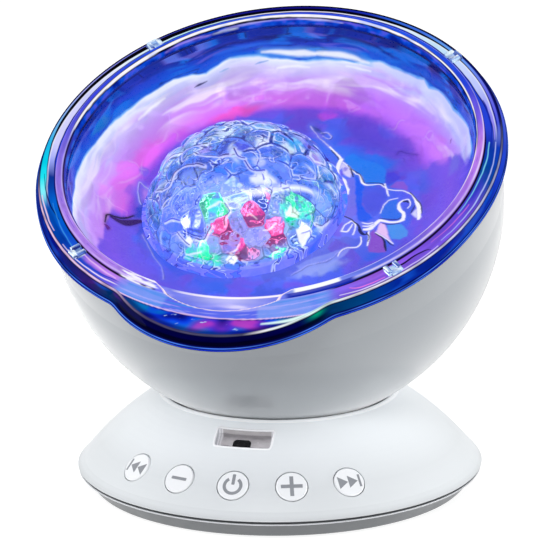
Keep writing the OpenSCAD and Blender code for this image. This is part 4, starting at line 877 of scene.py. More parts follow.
# small dark marks of painted shade and painted glints in the white part: (angle, share of the way down, width in mm)
# points, a colour and a strength
DARK_MARKS_AND_GLINTS = [([(-141.2, 0.302, 0.12), (-143.2, 0.297, 0.5), (-145.6, 0.292, 0.12)], (26, 22, 96), 0.95), ([(-150.2, 0.245, 0.15), (-151.8, 0.242, 0.4), (-153.2, 0.24, 0.15)], (120, 170, 224), 0.7),
         ([(-161.4, 0.25, 0.12), (-163, 0.243, 0.4), (-165.4, 0.24, 0.15)], (90, 150, 224), 0.8), ([(119, 0.385, 0.15), (119.6, 0.372, 0.3), (120, 0.36, 0.12)], (110, 50, 140), 0.8)]
WAVES = [([(-147, 0.05, 0.3), (-151, 0.04, 0.8), (-156, 0.032, 1.1), (-161, 0.036, 0.8), (-167, 0.026, 1.0), (-173, 0.014, 0.4)], (3, 14, 104), 0.75),
         ([(177, 0.014, 0.4), (171, 0.022, 0.9), (165, 0.034, 1.2), (160, 0.055, 0.9), (155, 0.085, 0.4)], (3, 14, 104), 0.75),
         ([(-150, 0.1, 0.3), (-157, 0.088, 1.3), (-165, 0.086, 0.9), (-172, 0.094, 0.3)], (40, 112, 236), 0.6), ([(174, 0.07, 0.3), (168, 0.072, 1.2), (161, 0.09, 0.9), (156, 0.11, 0.3)], (30, 120, 226), 0.6)]
GLINTS = [[(-181, 0.196, 0.9), (-176, 0.196, 1.7), (-170, 0.18, 1.2), (-164, 0.158, 0.4)], [(181, 0.194, 0.9), (174, 0.188, 1.7), (168, 0.196, 1.1), (163, 0.216, 0.4)],
          [(170, 0.28, 0.2), (166, 0.275, 0.7), (162, 0.28, 0.2)], [(-178, 0.31, 0.2), (-174, 0.302, 0.6), (-168, 0.31, 0.2)], [(-131, 0.27, 0.2), (-126, 0.28, 0.8), (-120, 0.30, 0.3)]]


def liner_paint(t, phi, P):
    a = np.radians(phi)
    sx, sy, down = 45 * np.sin(a), 45 * np.cos(a), t * 32.75
    spot = np.stack([sx, sy, down], -1)
    warp = np.stack([perlin(spot / 8.0 + o) for o in (3.1, 27.7, 52.9)], -1) * np.array([3.2, 3.2, 1.5])

    def flow(lam, across, seed, octaves=3):
        """Noise drawn out round the bowl: about lam mm long and across mm wide, with bent streaks."""
        q = spot + warp
        return fbm(np.stack([q[:, 0] / lam + seed, q[:, 1] / lam, q[:, 2] / across + seed], -1), octaves)

    wide, mid, fine = flow(34, 18, 3.7, 2), flow(13, 7, 11.2), flow(5, 3, 23.9)
    edge = np.interp(phi + 1.2 * around(phi, 6, 9.1), [q[0] for q in SHORE], [q[1] for q in SHORE])
    tt = t + (0.166 - edge + 0.006 * around(phi, 4.5, 2.5) + 0.004 * fine) * smooth(0.5, 0.24, t) + 0.022 * wide * smooth(0.1, 0.3, t) + 0.014 * mid * smooth(0.2, 0.4, t)
    left = smooth(-57, -62, phi + 7 * smooth(0.33, 0.42, t) + 14 * smooth(0.42, 0.54, t) + 2.5 * mid + 1.5 * fine)
    right = smooth(106, 111, phi - 9 * smooth(0.3, 0.5, t) + 3 * mid + 2 * fine)
    back = np.where(phi < 0, left, right)
    c = mixc(ramp(tt, BACKWALL), ramp(tt, RIGHTWALL), smooth(172, 146, phi) * (phi > 0))
    c = mixc(ramp(tt, FRONTWALL), c, back)
    # the deep blue by the rim, all painted light: streaky patches and thin dark waves of painted shade
    rim = smooth(0.17, 0.15, tt) * (0.35 + 0.65 * back)
    s1, s2, s3 = flow(15, 3.6, 41.3), flow(11, 2.8, 55.1), flow(19, 2.6, 61.7)
    c = mixc(c, lin(4, 34, 150), 0.4 * rim * smooth(0.1, 0.6, s1))
    c = mixc(c, lin(4, 110, 226), 0.85 * rim * smooth(-0.05, 0.5, s2))
    c = mixc(c, lin(44, 66, 216), 0.35 * rim * smooth(0.2, 0.65, -s2))
    c = mixc(c, lin(3, 12, 100), 0.65 * rim * smooth(0.06, 0.015, np.abs(s3)) * smooth(-0.2, 0.2, s1 + 0.3 * mid))
    c = mixc(c, lin(150, 130, 240), 0.3 * rim * smooth(0.35, 0.7, s3) * smooth(0.1, 0.04, tt))
    c = mixc(c, lin(120, 190, 250), 0.55 * back * band(tt, 0.166, 0.004, 0.016) * smooth(-0.2, 0.4, s2))
    # whiter towards the left, lavender at the back
    c = mixc(c, lin(240, 245, 255), 0.65 * back * band(phi, -112, 34, 12) * smooth(0.168, 0.18, tt) * smooth(0.31, 0.22, tt + 0.03 * mid))
    # pale wisps and deeper bands where the wall turns from white to pink
    lit = smooth(0.2, 0.3, tt) * smooth(0.7, 0.58, tt) * back
    c = mixc(c, lin(250, 242, 255), 0.6 * lit * smooth(0.05, 0.7, flow(22, 3.6, 81.2)) * smooth(0.6, 0.4, tt))
    c = mixc(c, lin(192, 128, 246), 0.5 * lit * smooth(0.05, 0.7, flow(18, 4.2, 92.6)))
    c = mixc(c, lin(186, 190, 252), 0.6 * back * band(tt, 0.27, 0.06, 0.05) * smooth(0.0, 0.6, flow(14, 3.4, 15.4)))
    for f0, t0, wf, wt, col, k in GLOW:
        g = np.exp(-(((phi - f0 + 180) % 360 - 180 + 4 * mid) * 0.785 / wf) ** 2 - ((t - t0 + 0.03 * fine) * 32.75 / wt) ** 2)
        c = mixc(c, lin(*col), k * smooth(0.12, 0.7, g))
    f1, f2, pick = cells(np.stack([sx, sy, down * 1.5], -1) + 5.0 * np.stack([wide, mid, wide - mid], -1), 13.0)
    wall = smooth(0.2, 0.28, tt) * smooth(0.72, 0.6, tt) * back
    c = c * (1 + 0.3 * (pick - 0.5) * wall * smooth(0.0, 2.5, f2 - f1))[:, None]
    c = mixc(c, lin(244, 226, 255), 0.16 * wall * smooth(0.9, 0.1, f2 - f1) * smooth(-0.1, 0.3, mid))
    # low on the wall and on the floor: broad patches, each with one edge sharper than the rest
    deep = smooth(0.62, 0.74, tt)
    x, y = P[:, 0] + 1.5 * mid + 0.7 * perlin(P * 0.45 + 71), P[:, 1] + 1.2 * fine + 0.9 * perlin(P * 0.4 + 91)
    c = mixc(c, lin(44, 104, 236), 0.5 * deep * smooth(0.0, 0.5, flow(17, 9, 33.3)))
    c = mixc(c, lin(120, 72, 220), 0.5 * deep * smooth(0.0, 0.5, flow(15, 8, 47.9)))
    d1, d2, who = cells(P * np.array([1, 1, 0.7]) + 2.6 * np.stack([mid, fine, wide], -1), 9.0)
    c = c * (1 + 0.2 * (who - 0.5) * deep * smooth(0.0, 0.6, d2 - d1))[:, None]
    for x0, y0, wx, wy, turn, col, k in POOLS:
        b = math.radians(turn)
        u, v = (x - x0) * math.cos(b) + (y - y0) * math.sin(b), -(x - x0) * math.sin(b) + (y - y0) * math.cos(b)
        g = np.exp(-0.7 * ((u / wx) ** 2 + (v / wy) ** 2))
        c = mixc(c, lin(*col), k * smooth(0.16, 0.78, g) * (t > 0.35))
    for pts, col, k in BASINS:
        c = mixc(c, lin(*col), k * inside(P[:, 0] + 0.3 * fine, P[:, 1] + 0.3 * mid, pts, 0.7) * (t > 0.42))
    # strokes
    fx, fy = phi * 0.785, down + 0.25 * fine
    for pts in GLINTS:
        q = [(f * 0.785, s * 32.75, w) for f, s, w in pts]
        c = mixc(c, lin(110, 186, 250), 0.5 * stroke(fx, fy, [(u, v, w + 1.6) for u, v, w in q], 1.0) * (t < 0.24))
        c = mixc(c, lin(254, 254, 255), 0.85 * stroke(fx, fy, q, 0.5))
    for pts, col, k in WAVES:
        c = mixc(c, lin(*col), k * stroke(fx, fy, [(f * 0.785, s * 32.75, w) for f, s, w in pts], 0.6) * (t < 0.14))
    for pts, col, k in DARK_MARKS_AND_GLINTS:
        q = [(f * 0.785, s * 32.75, w) for f, s, w in pts]
        c = mixc(c, lin(*col), k * stroke(fx, fy, q, 0.22))
    low = (t > 0.42) & (t < 1.6)
    X, Y = P[low, 0] + 0.22 * fine[low], P[low, 1] + 0.22 * mid[low]
    part = c[low]
    vary = np.clip(0.72 + 0.9 * fbm(P[low] * 0.55 + 61, 2), 0.15, 1)
    for pts, col, k in SHADE_STROKES:
        part = mixc(part, lin(*col), 0.4 * k * stroke(X, Y, [(u, v, w + 0.8) for u, v, w in pts], 0.5))
        part = mixc(part, lin(*col), k * stroke(X, Y, pts, 0.16))
    for pts, k in RIBBONS:
        part = mixc(part, lin(96, 116, 242), 0.5 * k * stroke(X, Y, [(u, v, w + 2.0) for u, v, w in pts], 0.9))
        part = mixc(part, lin(14, 16, 96), 0.85 * k * vary * stroke(X, Y, [(u + 0.25 + w / 2, v - 0.2 - w / 3, 0.3) for u, v, w in pts], 0.16))
        part = mixc(part, lin(148, 152, 250), 0.8 * k * vary * stroke(X, Y, [(u, v, w + 0.35) for u, v, w in pts], 0.25))
        part = mixc(part, lin(252, 249, 255), k * stroke(X, Y, [(u, v, w - 0.35) for u, v, w in pts], 0.2))
    for pts in WHITES:
        part = mixc(part, lin(140, 150, 248), 0.6 * vary * stroke(X, Y, [(u, v, w + 0.6) for u, v, w in pts], 0.3))
        part = mixc(part, lin(253, 250, 255), 0.97 * stroke(X, Y, [(u, v, w + 0.08) for u, v, w in pts], 0.14))
    for pts in DARKS:
        part = mixc(part, lin(8, 10, 70), 0.92 * stroke(X, Y, [(u, v, w + 0.12) for u, v, w in pts], 0.12))
    c[low] = part
    return np.clip(c, 0, 1.2)


U_TAB = np.radians(np.linspace(90, 0, 400))
ARC = np.concatenate([[0], np.cumsum(np.hypot(np.diff(24.2 * np.sin(U_TAB)), np.diff(17.2 * np.cos(U_TAB))))])


def floor_radius(t):
    """Radius at share t of the way down the wall and in over the floor."""
    run = np.asarray(t, float) * ARC[-1]
    return np.where(run <= ARC[-1], 30 + 24.2 * np.sin(np.interp(run, ARC, U_TAB)), 30 - (run - ARC[-1]))


def liner_point(s, phi, hole, d=0.0):
    """Point at share s of the way from the rim (0) to the hole (1), offset d below the inner face, with the t used for colour."""
    u_end = np.arcsin(np.clip((hole - 30) / 24.2, 0, 1))
    wall = np.interp(-u_end, -U_TAB, ARC)
    run = s * (wall + np.maximum(30 - hole, 0))
    u = np.interp(np.minimum(run, wall), ARC, U_TAB)
    on_wall = run <= wall
    r = np.where(on_wall, 30 + (24.2 + d) * np.sin(u), 30 - (run - wall))
    h = np.where(on_wall, 12.2 - (17.2 + d) * np.cos(u), -5.0 - d)
    return r, h, run / ARC[-1], u


def build_liner():
    phi = np.arange(1400) / 1400 * 360 - 180
    a = np.radians(phi)
    ahead = LX * np.sin(a) - LY * np.cos(a)
    hole = ahead + np.sqrt(27.6 ** 2 - (LX ** 2 + LY ** 2 - ahead ** 2))
    V, T = [], []
    ss = np.linspace(0, 1, 180)
    for s in ss:
        r, h, t, u = liner_point(s, phi, hole)
        P = polar(phi, r, h)
        # the wall's gentle hammered ripple
        n = perlin(P * 0.16 + 5) * 0.5 + perlin(P * 0.33 + 9) * 0.22
        k = smooth(0, 0.06, t) * 0.75
        nr, nh = -np.sin(u) / 24.2, np.cos(u) / 17.2
        ln = np.hypot(nr, nh)
        nr, nh = nr / ln, nh / ln
        P += polar(phi, nr * n * k, nh * n * k)
        V.append(P)
        T.append(t)
    for s in np.linspace(1, 0, 14):
        r, h, t, u = liner_point(s, phi, hole, 1.2)
        V.append(polar(phi, r, h))
        T.append(t)
    for r, h in ((54.6, 11.0), (58.3, 11.05), (58.35, 12.1), (56.0, 12.25)):
        V.append(polar(phi, np.full(phi.shape, r), np.full(phi.shape, h)))
        T.append(np.zeros(phi.shape))
    rows = len(V)
    V = np.concatenate(V)
    T = np.concatenate(T)
    paint = liner_paint(T, np.tile(phi, rows), V)
    ob = make("reflector_bowl", V, grid_faces(rows, len(phi), loop=True).tolist(), sharp=50, paint=paint)
    cover(ob, painted("reflector_glow", base=0.12, glow=0.92, rough=0.3, coat=0.08, coat_rough=0.1, fleck=0.04, fleck_scale=160, spec=0.15))
    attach(ob, "head")
    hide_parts("reflector_liner")
    return ob


# ---------------------------------------------------------------- wave lens
def lens_seeds(limit):
    """Middles of the lens's bumps: spread out by steps, closer together towards the skirt."""
    rng = np.random.default_rng(11)
    pool = rng.random((6000, 2))
    ct = 1 - (1 - math.cos(limit)) * pool[:, 0]
    ph = 2 * math.pi * pool[:, 1]
    st = np.sqrt(1 - ct ** 2)
    D = np.stack([st * np.cos(ph), st * np.sin(ph), ct], -1)
    kept = []
    for d in D:
        gap = math.radians(9.5 + 5.0 * float(perlin(d * 2.1 + 3)) + 2.5 * d[2] ** 2)
        if all(d @ k < math.cos(gap) for k in kept):
            kept.append(d)
    return np.array(kept)


# colours and edges seen in the bumps of the lens, in plan round its middle (mm)
LENS_SPOTS = [((-4.0, 7.1), (235, 236, 255)), ((7.3, 3.2), (250, 250, 255)), ((7.5, -3.8), (214, 206, 250)), ((13.1, 5.1), (250, 250, 255)), ((1.0, -2.0), (250, 250, 255)), ((14.1, 0.6), (84, 146, 238)), ((14.0, 8.2), (0, 176, 236)),
              ((-23.7, 3.7), (80, 228, 238)), ((19.6, 16.4), (20, 92, 222)), ((-5.7, 1.2), (30, 104, 226)), ((-10.8, -3.3), (54, 112, 230)), ((-2.7, 17.8), (10, 94, 232)), ((-8.0, 0.1), (176, 136, 236)), ((19.3, 6.8), (176, 140, 240)),
              ((20.0, 3.6), (20, 120, 226)), ((16.3, 11.6), (100, 92, 226)), ((2.3, 0.1), (84, 86, 226)), ((-19.5, -4.6), (110, 150, 240)), ((9.9, 7.4), (24, 140, 226)), ((8.2, 0.8), (70, 100, 230)), ((-10.5, -9.9), (96, 120, 236)),
              ((-0.9, -7.6), (40, 104, 230)), ((19.9, -1.9), (120, 140, 240))]
LENS_PATCHES = [([(-14.5, -9.0), (-11.5, -7.2), (-8.0, -7.0), (-5.5, -9.0), (-6.0, -11.5), (-9.0, -12.8), (-12.5, -12.4), (-14.6, -11.0)], (150, 180, 240), 0.5),
                ([(21.0, -3.5), (23.5, -2.5), (25.0, -4.5), (24.3, -7.0), (22.8, -9.0), (21.2, -8.0), (20.8, -5.6)], (158, 182, 242), 0.5),
                ([(4.3, -12.9), (6.8, -12.1), (10.1, -10.3), (13.6, -8.0), (17.2, -6.0), (20.5, -5.0), (21.1, -5.6), (18.7, -6.9), (15.0, -8.7), (11.3, -11.2), (9.7, -12.9), (6.7, -13.7), (5.0, -13.5)], (248, 248, 255), 0.95),
                ([(6.6, -9.3), (8.0, -7.7), (10.1, -6.8), (12.1, -7.2), (12.7, -7.9), (10.5, -9.4), (7.9, -10.5), (7.0, -10.2)], (246, 246, 255), 0.95),
                ([(-7.7, -13.3), (-5.3, -11.6), (-0.8, -10.0), (2.9, -10.9), (3.8, -13.2), (0.6, -14.6), (-3.1, -13.9), (-5.4, -14.7)], (150, 172, 242), 0.6)]
LENS_LIGHTS = [([(-4.8, -16.0), (-4.1, -14.9), (-2.3, -15.3), (-0.6, -14.9), (0.8, -16.0), (1.8, -17.1), (1.3, -18.3), (-0.1, -18.8), (-1.9, -18.1), (-3.5, -17.7), (-4.5, -16.7)], (0, 228, 156), 0.85),
               ([(14.0, -12.9), (15.0, -12.4), (16.7, -11.0), (19.8, -9.1), (21.4, -7.7), (21.4, -9.8), (21.3, -11.5), (19.4, -12.9), (17.1, -15.0), (15.3, -15.4), (14.4, -14.3)], (0, 232, 180), 0.9),
               ([(15.7, -13.9), (16.8, -11.7), (17.8, -11.7), (19.1, -11.9), (18.7, -13.3), (17.5, -13.9), (16.0, -14.4)], (255, 255, 255), 1.0),
               ([(13.3, -21.9), (14.6, -20.8), (15.8, -20.3), (16.3, -20.7), (17.0, -20.7), (17.4, -20.7), (15.4, -22.2), (13.4, -23.3), (12.5, -23.1)], (0, 234, 164), 0.9),
               ([(-9.6, -23.2), (-7.8, -22.8), (-6.5, -23.6), (-4.7, -24.2), (-2.6, -24.6), (-0.1, -25.2), (0.4, -26.2), (-2.6, -26.2), (-5.6, -25.7), (-8.9, -24.8), (-10.4, -24.2)], (0, 226, 152), 0.9),
               ([(18.4, -15.6), (20.5, -13.1), (21.9, -13.0), (21.7, -14.0), (20.1, -17.0), (19.0, -17.0)], (255, 255, 255), 1.0), ([(-11.5, -18.7), (-9.9, -18.0), (-8.2, -19.2), (-8.5, -20.3), (-10.1, -20.2)], (255, 255, 255), 1.0),
               ([(-10.4, -22.0), (-8.7, -21.6), (-7.7, -22.4), (-8.4, -22.9)], (255, 255, 255), 1.0), ([(1.6, -25.6), (2.9, -24.8), (4.3, -25.2), (3.3, -26.0)], (250, 252, 255), 1.0)]
LENS_LINES = [[(-20.3, 3.1), (-15.7, 2.6), (-12.0, 3.0), (-7.7, 2.3)], [(-16.4, -7.5), (-14.5, -5.5), (-11.5, -5.1), (-8.8, -5.6), (-6.5, -6.5)], [(-20.5, -7.4), (-16.4, -9.2), (-16.2, -7.6)], [(0.5, -1.1), (2.0, -3.3), (3.8, -3.9)],
              [(-10.8, -0.5), (-7.6, -2.9), (-4.0, -3.0), (-0.5, -3.0)], [(4.0, -4.7), (6.4, -6.9), (9.6, -6.3)], [(1.2, -20.5), (1.1, -19.3), (2.1, -17.8), (0.5, -16.1)], [(-12.4, -20.1), (-10.4, -21.8), (-8.4, -22.9)],
              [(-7.1, -22.2), (-4.6, -22.6), (-2.6, -20.6)], [(-16.5, -16.6), (-14.3, -17.0), (-12.2, -17.9)], [(22.5, -11.2), (24.0, -9.7), (25.1, -6.9)], [(17.8, -21.4), (19.4, -19.8), (22.2, -16.4), (24.8, -12.5)]]
LENS_GLINTS = [[(20.6, -17.0, 0.9), (22.4, -15.3, 1.1), (23.7, -12.9, 0.9), (24.9, -10.1, 0.7), (25.4, -8.6, 0.5)], [(20.3, -17.5, 0.4), (21.0, -17.4, 0.4), (20.0, -18.8, 0.4), (17.2, -21.0, 0.35), (14.2, -22.9, 0.3), (11.6, -24.3, 0.3), (9.4, -25.3, 0.2)],
               [(-3.5, -17.5, 0.5), (-1.5, -16.8, 0.6), (-0.7, -16.0, 0.5), (0.2, -16.1, 0.3)], [(15.1, -20.9, 0.4), (13.8, -21.6, 0.5), (13.3, -22.4, 0.5), (13.7, -22.8, 0.5), (14.9, -22.4, 0.5), (16.7, -21.2, 0.3)],
               [(-9.6, -24.0, 0.3), (-6.9, -24.4, 0.5), (-5.0, -24.4, 0.4)], [(6.7, -17.9, 0.3), (7.5, -17.5, 0.45), (9.2, -18.0, 0.2)], [(10.9, -19.5, 0.2), (12.4, -18.6, 0.45), (13.9, -17.0, 0.3)], [(2.5, -24.6, 0.2), (4.2, -24.0, 0.4), (5.3, -23.0, 0.3)],
               [(-9.9, -20.3, 0.3), (-9.7, -21.2, 0.3), (-9.0, -21.9, 0.3)], [(-18.5, -19.6, 0.2), (-16.2, -21.6, 0.35), (-13.1, -23.8, 0.35), (-9.6, -25.7, 0.2)], [(-18.7, -12.8, 0.2), (-16.6, -12.6, 0.4), (-15.0, -12.4, 0.2)]]


def build_lens():
    R, low, skirt, thick = 27.905, -11.605, 26.2, 1.8
    theta_end = math.asin(skirt / R)
    seeds = lens_seeds(theta_end + 0.12)
    amp = 0.75 + 0.5 * np.modf(np.arange(len(seeds)) * 0.618)[0]

    rows, cols = 230, 840
    t = np.linspace(0, 1, rows + 1)[1:] * theta_end
    p = np.arange(cols) / cols * 2 * math.pi
    TH, PH = np.meshgrid(t, p, indexing="ij")
    D = np.stack([np.sin(TH) * np.cos(PH), np.sin(TH) * np.sin(PH), np.cos(TH)], -1)

    def relief(D):
        flat = D.reshape(-1, 3)
        bent = flat + 0.05 * np.stack([perlin(flat * 4.3 + o) for o in (1.7, 8.3, 15.9)], -1)
        bent /= np.linalg.norm(bent, axis=1, keepdims=True)
        ang = np.arccos(np.clip(bent @ seeds.T, -1, 1)) * R
        # overlapping bumps: the nearest wins, blended where two meet
        k = 0.55
        near = np.sort(np.partition(ang, 1, 1)[:, :2], 1)
        w = np.exp(-k * (ang ** 2 - near[:, :1] ** 2))
        d2 = near[:, 0] ** 2 - np.log(w.sum(1)) / k
        a = (w * amp).sum(1) / w.sum(1)
        bump_h = a * (1 - d2 / 16.0)
        wavy = 0.28 * perlin(flat * 3.1 + 21) + 0.16 * perlin(flat * 6.5 + 33) + 0.1 * perlin(flat * 14 + 47) + 0.045 * perlin(flat * 27 + 59)
        crease = (near[:, 1] - near[:, 0]).reshape(D.shape[:-1])
        return (0.8 * bump_h + wavy - 0.3).reshape(D.shape[:-1]), crease, np.argmin(ang, 1)

    fade = smooth(1.0, 0.93, TH / theta_end)
    high, crease, owner = relief(D)
    rad = R + high * fade
    top = D * rad[..., None] + np.array([0, 0, low])
    V = [top.reshape(-1, 3)]
    count = rows

    def ringpts(r, h):
        return np.stack([r * np.cos(p), r * np.sin(p), np.full(p.shape, float(h))], -1)

    for r, h in ((26.2, -2.6), (26.2, -6.0), (26.2, -13.3), (26.0, -13.6), (24.6, -13.6), (24.4, -13.3), (24.4, -3.4)):
        V.append(ringpts(r, h))
        count += 1
    Ri = R - thick
    end = math.asin(24.4 / Ri)
    for q in np.linspace(1, 0, 50)[:-1]:
        inner = ringpts(Ri * math.sin(end * q), Ri * math.cos(end * q))
        ripple = (0.3 * perlin(inner * 0.15 + 4) + 0.12 * perlin(inner * 0.35 + 14)) * (1 - q ** 8)
        V.append(inner * (1 + ripple / Ri)[:, None] + np.array([0, 0, low]))
        count += 1
    V = np.concatenate(V)
    faces = grid_faces(count, cols).tolist()
    apex = R + float(relief(np.array([[0, 0, 1.0]]))[0][0])
    V = np.vstack([V, [0, 0, low + apex], [0, 0, low + Ri]])
    n = len(V)
    faces += [(n - 2, (j + 1) % cols, j) for j in range(cols)]
    base = (count - 1) * cols
    faces += [(n - 1, base + j, base + (j + 1) % cols) for j in range(cols)]
    # the light that the creases between the bumps catch, and a faint glow of the whole dome, all painted light, with
    # painted shade along the creases
    flat = D.reshape(-1, 3)
    slow = fbm(flat * 3.3 + 41, 2)
    quick = fbm(flat * 9.0 + 71, 2)
    gap = crease.ravel() + 0.14 * quick
    shade = np.modf(owner * 0.618)[0]
    turn, lot = np.modf(owner * 0.414)[0] * 2 * math.pi, np.modf(owner * 0.732)[0]
    plan_y = flat[:, 1] * R
    far = smooth(-6, 12, plan_y)
    core = smooth(0.58 + 0.75 * far, 0.3 + 0.5 * far, gap)
    side = smooth(1.35 + 1.3 * far, 0.8 + 0.9 * far, gap) * smooth(0.36 + 0.6 * far, 0.56 + 0.7 * far, gap)
    skirt_side = smooth(0.84, 0.93, TH.ravel() / theta_end)
    veil = np.clip(smooth(-15.5, -8.0, plan_y + 2.5 * slow) + 0.8 * skirt_side, 0, 1)
    stretch = TH.ravel() / np.sin(TH.ravel())
    ax, ay = flat[:, 0] * R * stretch, plan_y * stretch

    def unroll(points):
        """Points given in plan, as run along the dome from its top."""
        out = []
        for q in points:
            k = min(math.hypot(q[0], q[1]) / R, 0.999)
            k = math.asin(k) / k if k > 1e-6 else 1.0
            out.append((q[0] * k, q[1] * k) + tuple(q[2:]))
        return out

    haze = ramp(slow, [(-0.6, (52, 112, 206)), (0.0, (86, 132, 214)), (0.6, (132, 156, 226))]) * 0.3
    haze = haze * (0.7 + 0.6 * shade)[:, None]
    bumps = ramp(shade, [(0.0, (20, 92, 200)), (0.2, (62, 116, 210)), (0.36, (126, 142, 216)), (0.5, (160, 172, 228)), (0.62, (14, 140, 210)), (0.76, (16, 84, 196)), (0.88, (78, 92, 206)), (1.0, (30, 104, 204))])
    bumps = mixc(bumps, lin(76, 118, 214), 0.12 + 0.5 * skirt_side) * (0.85 + 0.7 * quick)[:, None]
    off = np.stack([np.cos(turn), np.sin(turn)], -1) * 1.2
    mid = seeds[owner] * R
    du, dv = flat[:, 0] * R - mid[:, 0] - off[:, 0], flat[:, 1] * R - mid[:, 1] - off[:, 1]
    along, across = du * np.cos(turn * 1.7) + dv * np.sin(turn * 1.7), dv * np.cos(turn * 1.7) - du * np.sin(turn * 1.7)
    bumps = mixc(bumps, lin(240, 240, 255), 0.8 * (lot > 0.62) * np.exp(-((along / 1.5) ** 2 + (across / 0.6) ** 2)))
    for (x0, y0), col in LENS_SPOTS:
        (x1, y1), = unroll([(x0, y0)])
        w = 2.0 + 0.08 * max(y0, 0)
        bumps = mixc(bumps, lin(*col), 0.9 * smooth(0.2, 0.7, np.exp(-(((ax - x1) / w) ** 2 + ((ay - y1) / w) ** 2 + 0.3 * quick))))
    haze = mixc(haze, bumps * np.array([0.76, 0.9, 0.8]), veil)
    for pts, col, k in LENS_PATCHES:
        haze = mixc(haze, lin(*col) * 1.15, k * inside(ax + 0.9 * quick, ay + 0.9 * slow, unroll(pts), 1.8))
    streak = fbm(flat * np.array([26, 15, 15]) + 29, 3)
    solid = np.zeros(len(flat))
    for pts, col, k in LENS_LIGHTS:
        w = k * inside(ax + 0.5 * quick, ay + 0.5 * slow, unroll(pts), 0.7) * (1 if min(col) > 200 else np.clip(0.75 + 1.1 * streak, 0.1, 1))
        haze = mixc(haze, lin(*col) * 1.2, w)
        solid = np.maximum(solid, w)
    strong = np.clip(0.35 + 0.65 * veil, 0, 1)
    dark = (0.8 + 0.18 * far) * core * strong * smooth(-0.15 - 0.15 * far, 0.2 - 0.1 * far, quick - 0.5 * slow)
    wave = fbm(flat * np.array([6.0, 9.5, 9.5]) + 131, 2)
    broken = veil * smooth(-0.25, 0.2, fbm(flat * 4.2 + 151, 2))
    haze = mixc(haze, lin(240, 244, 255), 0.7 * broken * smooth(0.06, 0.02, np.abs(wave - 0.1)))
    dark = np.maximum(dark, 0.8 * broken * smooth(0.055, 0.015, np.abs(wave)))
    haze = mixc(haze, lin(236, 240, 255), (0.6 + 0.28 * far) * side * strong * smooth(-0.1 * far, 0.5 - 0.15 * far, slow + 0.5 * quick))
    haze = mixc(haze, lin(6, 8, 60) * 0.3, dark)
    clear = (1 - 0.62 * veil) * (1 - 0.6 * solid)
    wob = 0.35 * fbm(flat * 6 + 17, 2)
    for pts in LENS_LINES:
        q = unroll(pts)
        w = [0.4 for q0 in pts]
        pale = stroke(ax + wob, ay - wob, [(u + 0.3, v - 0.3, k * 2.6) for (u, v), k in zip(q, w)], 0.3)
        line = stroke(ax + wob, ay - wob, [(u, v, k) for (u, v), k in zip(q, w)], 0.18)
        haze = mixc(haze, lin(232, 232, 255), 0.75 * pale)
        haze = mixc(haze, lin(6, 8, 60) * 0.2, 0.95 * line)
        dark = np.maximum(dark, 0.95 * line)
    for pts in LENS_GLINTS:
        g = stroke(ax + wob, ay - wob, unroll(pts), 0.25)
        haze = mixc(haze, lin(250, 250, 255), 0.9 * g)
    glow = np.zeros((n, 3))
    glow[:len(flat)] = haze
    # the see-through colour: a faint blue tint, dimmed where painted light covers it and darkened along the creases as
    # painted shade
    tint = np.tile(np.array([0.87, 0.92, 0.94]), (n, 1))
    tint[:len(flat)] = mixc(tint[:len(flat)] * clear[:, None] * (1 - veil[:, None] * np.array([0.3, 0.0, 0.25])), np.array([0.04, 0.05, 0.2]), dark)
    V[:, 0] += LX
    V[:, 1] += LY
    ob = make("wave_lens", V, faces, sharp=60, paint=glow)
    at = ob.data.color_attributes.new("tint", "FLOAT_COLOR", "POINT")
    at.data.foreach_set("color", np.concatenate([tint, np.ones((n, 1))], 1).astype(np.float32).ravel())
    m, nt, pr = new_mat("lens_glass")
    col = nt.nodes.new("ShaderNodeVertexColor")
    col.layer_name = "tint"
    nt.links.new(col.outputs["Color"], pr.inputs["Base Color"])
    lit = nt.nodes.new("ShaderNodeVertexColor")
    lit.layer_name = "paint"
    nt.links.new(lit.outputs["Color"], pr.inputs["Emission Color"])
    pr.inputs["Emission Strength"].default_value = 0.8
    pr.inputs["Transmission Weight"].default_value = 1.0
    pr.inputs["IOR"].default_value = 1.23
    pr.inputs["Roughness"].default_value = 0.035
    pr.inputs["Specular Tint"].default_value = (0.42, 0.52, 0.85, 1)
    fine = noise_node(nt, 350, 2)
    bump(nt, pr, fine.outputs["Fac"], 0.12, 0.0003)
    cover(ob, m)
    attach(ob, "lens")
    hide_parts("lens_dome")
    return ob


# ---------------------------------------------------------------- LED board
RED = [(7.5, 0), (7.5, 90), (7.5, 180), (7.5, 270)]
GREEN = [(14.7, 45), (14.7, 135), (14.7, 225), (14.7, 315)]
WHITE = [(16.2, 0), (16.2, 90), (16.2, 180), (16.2, 270)]


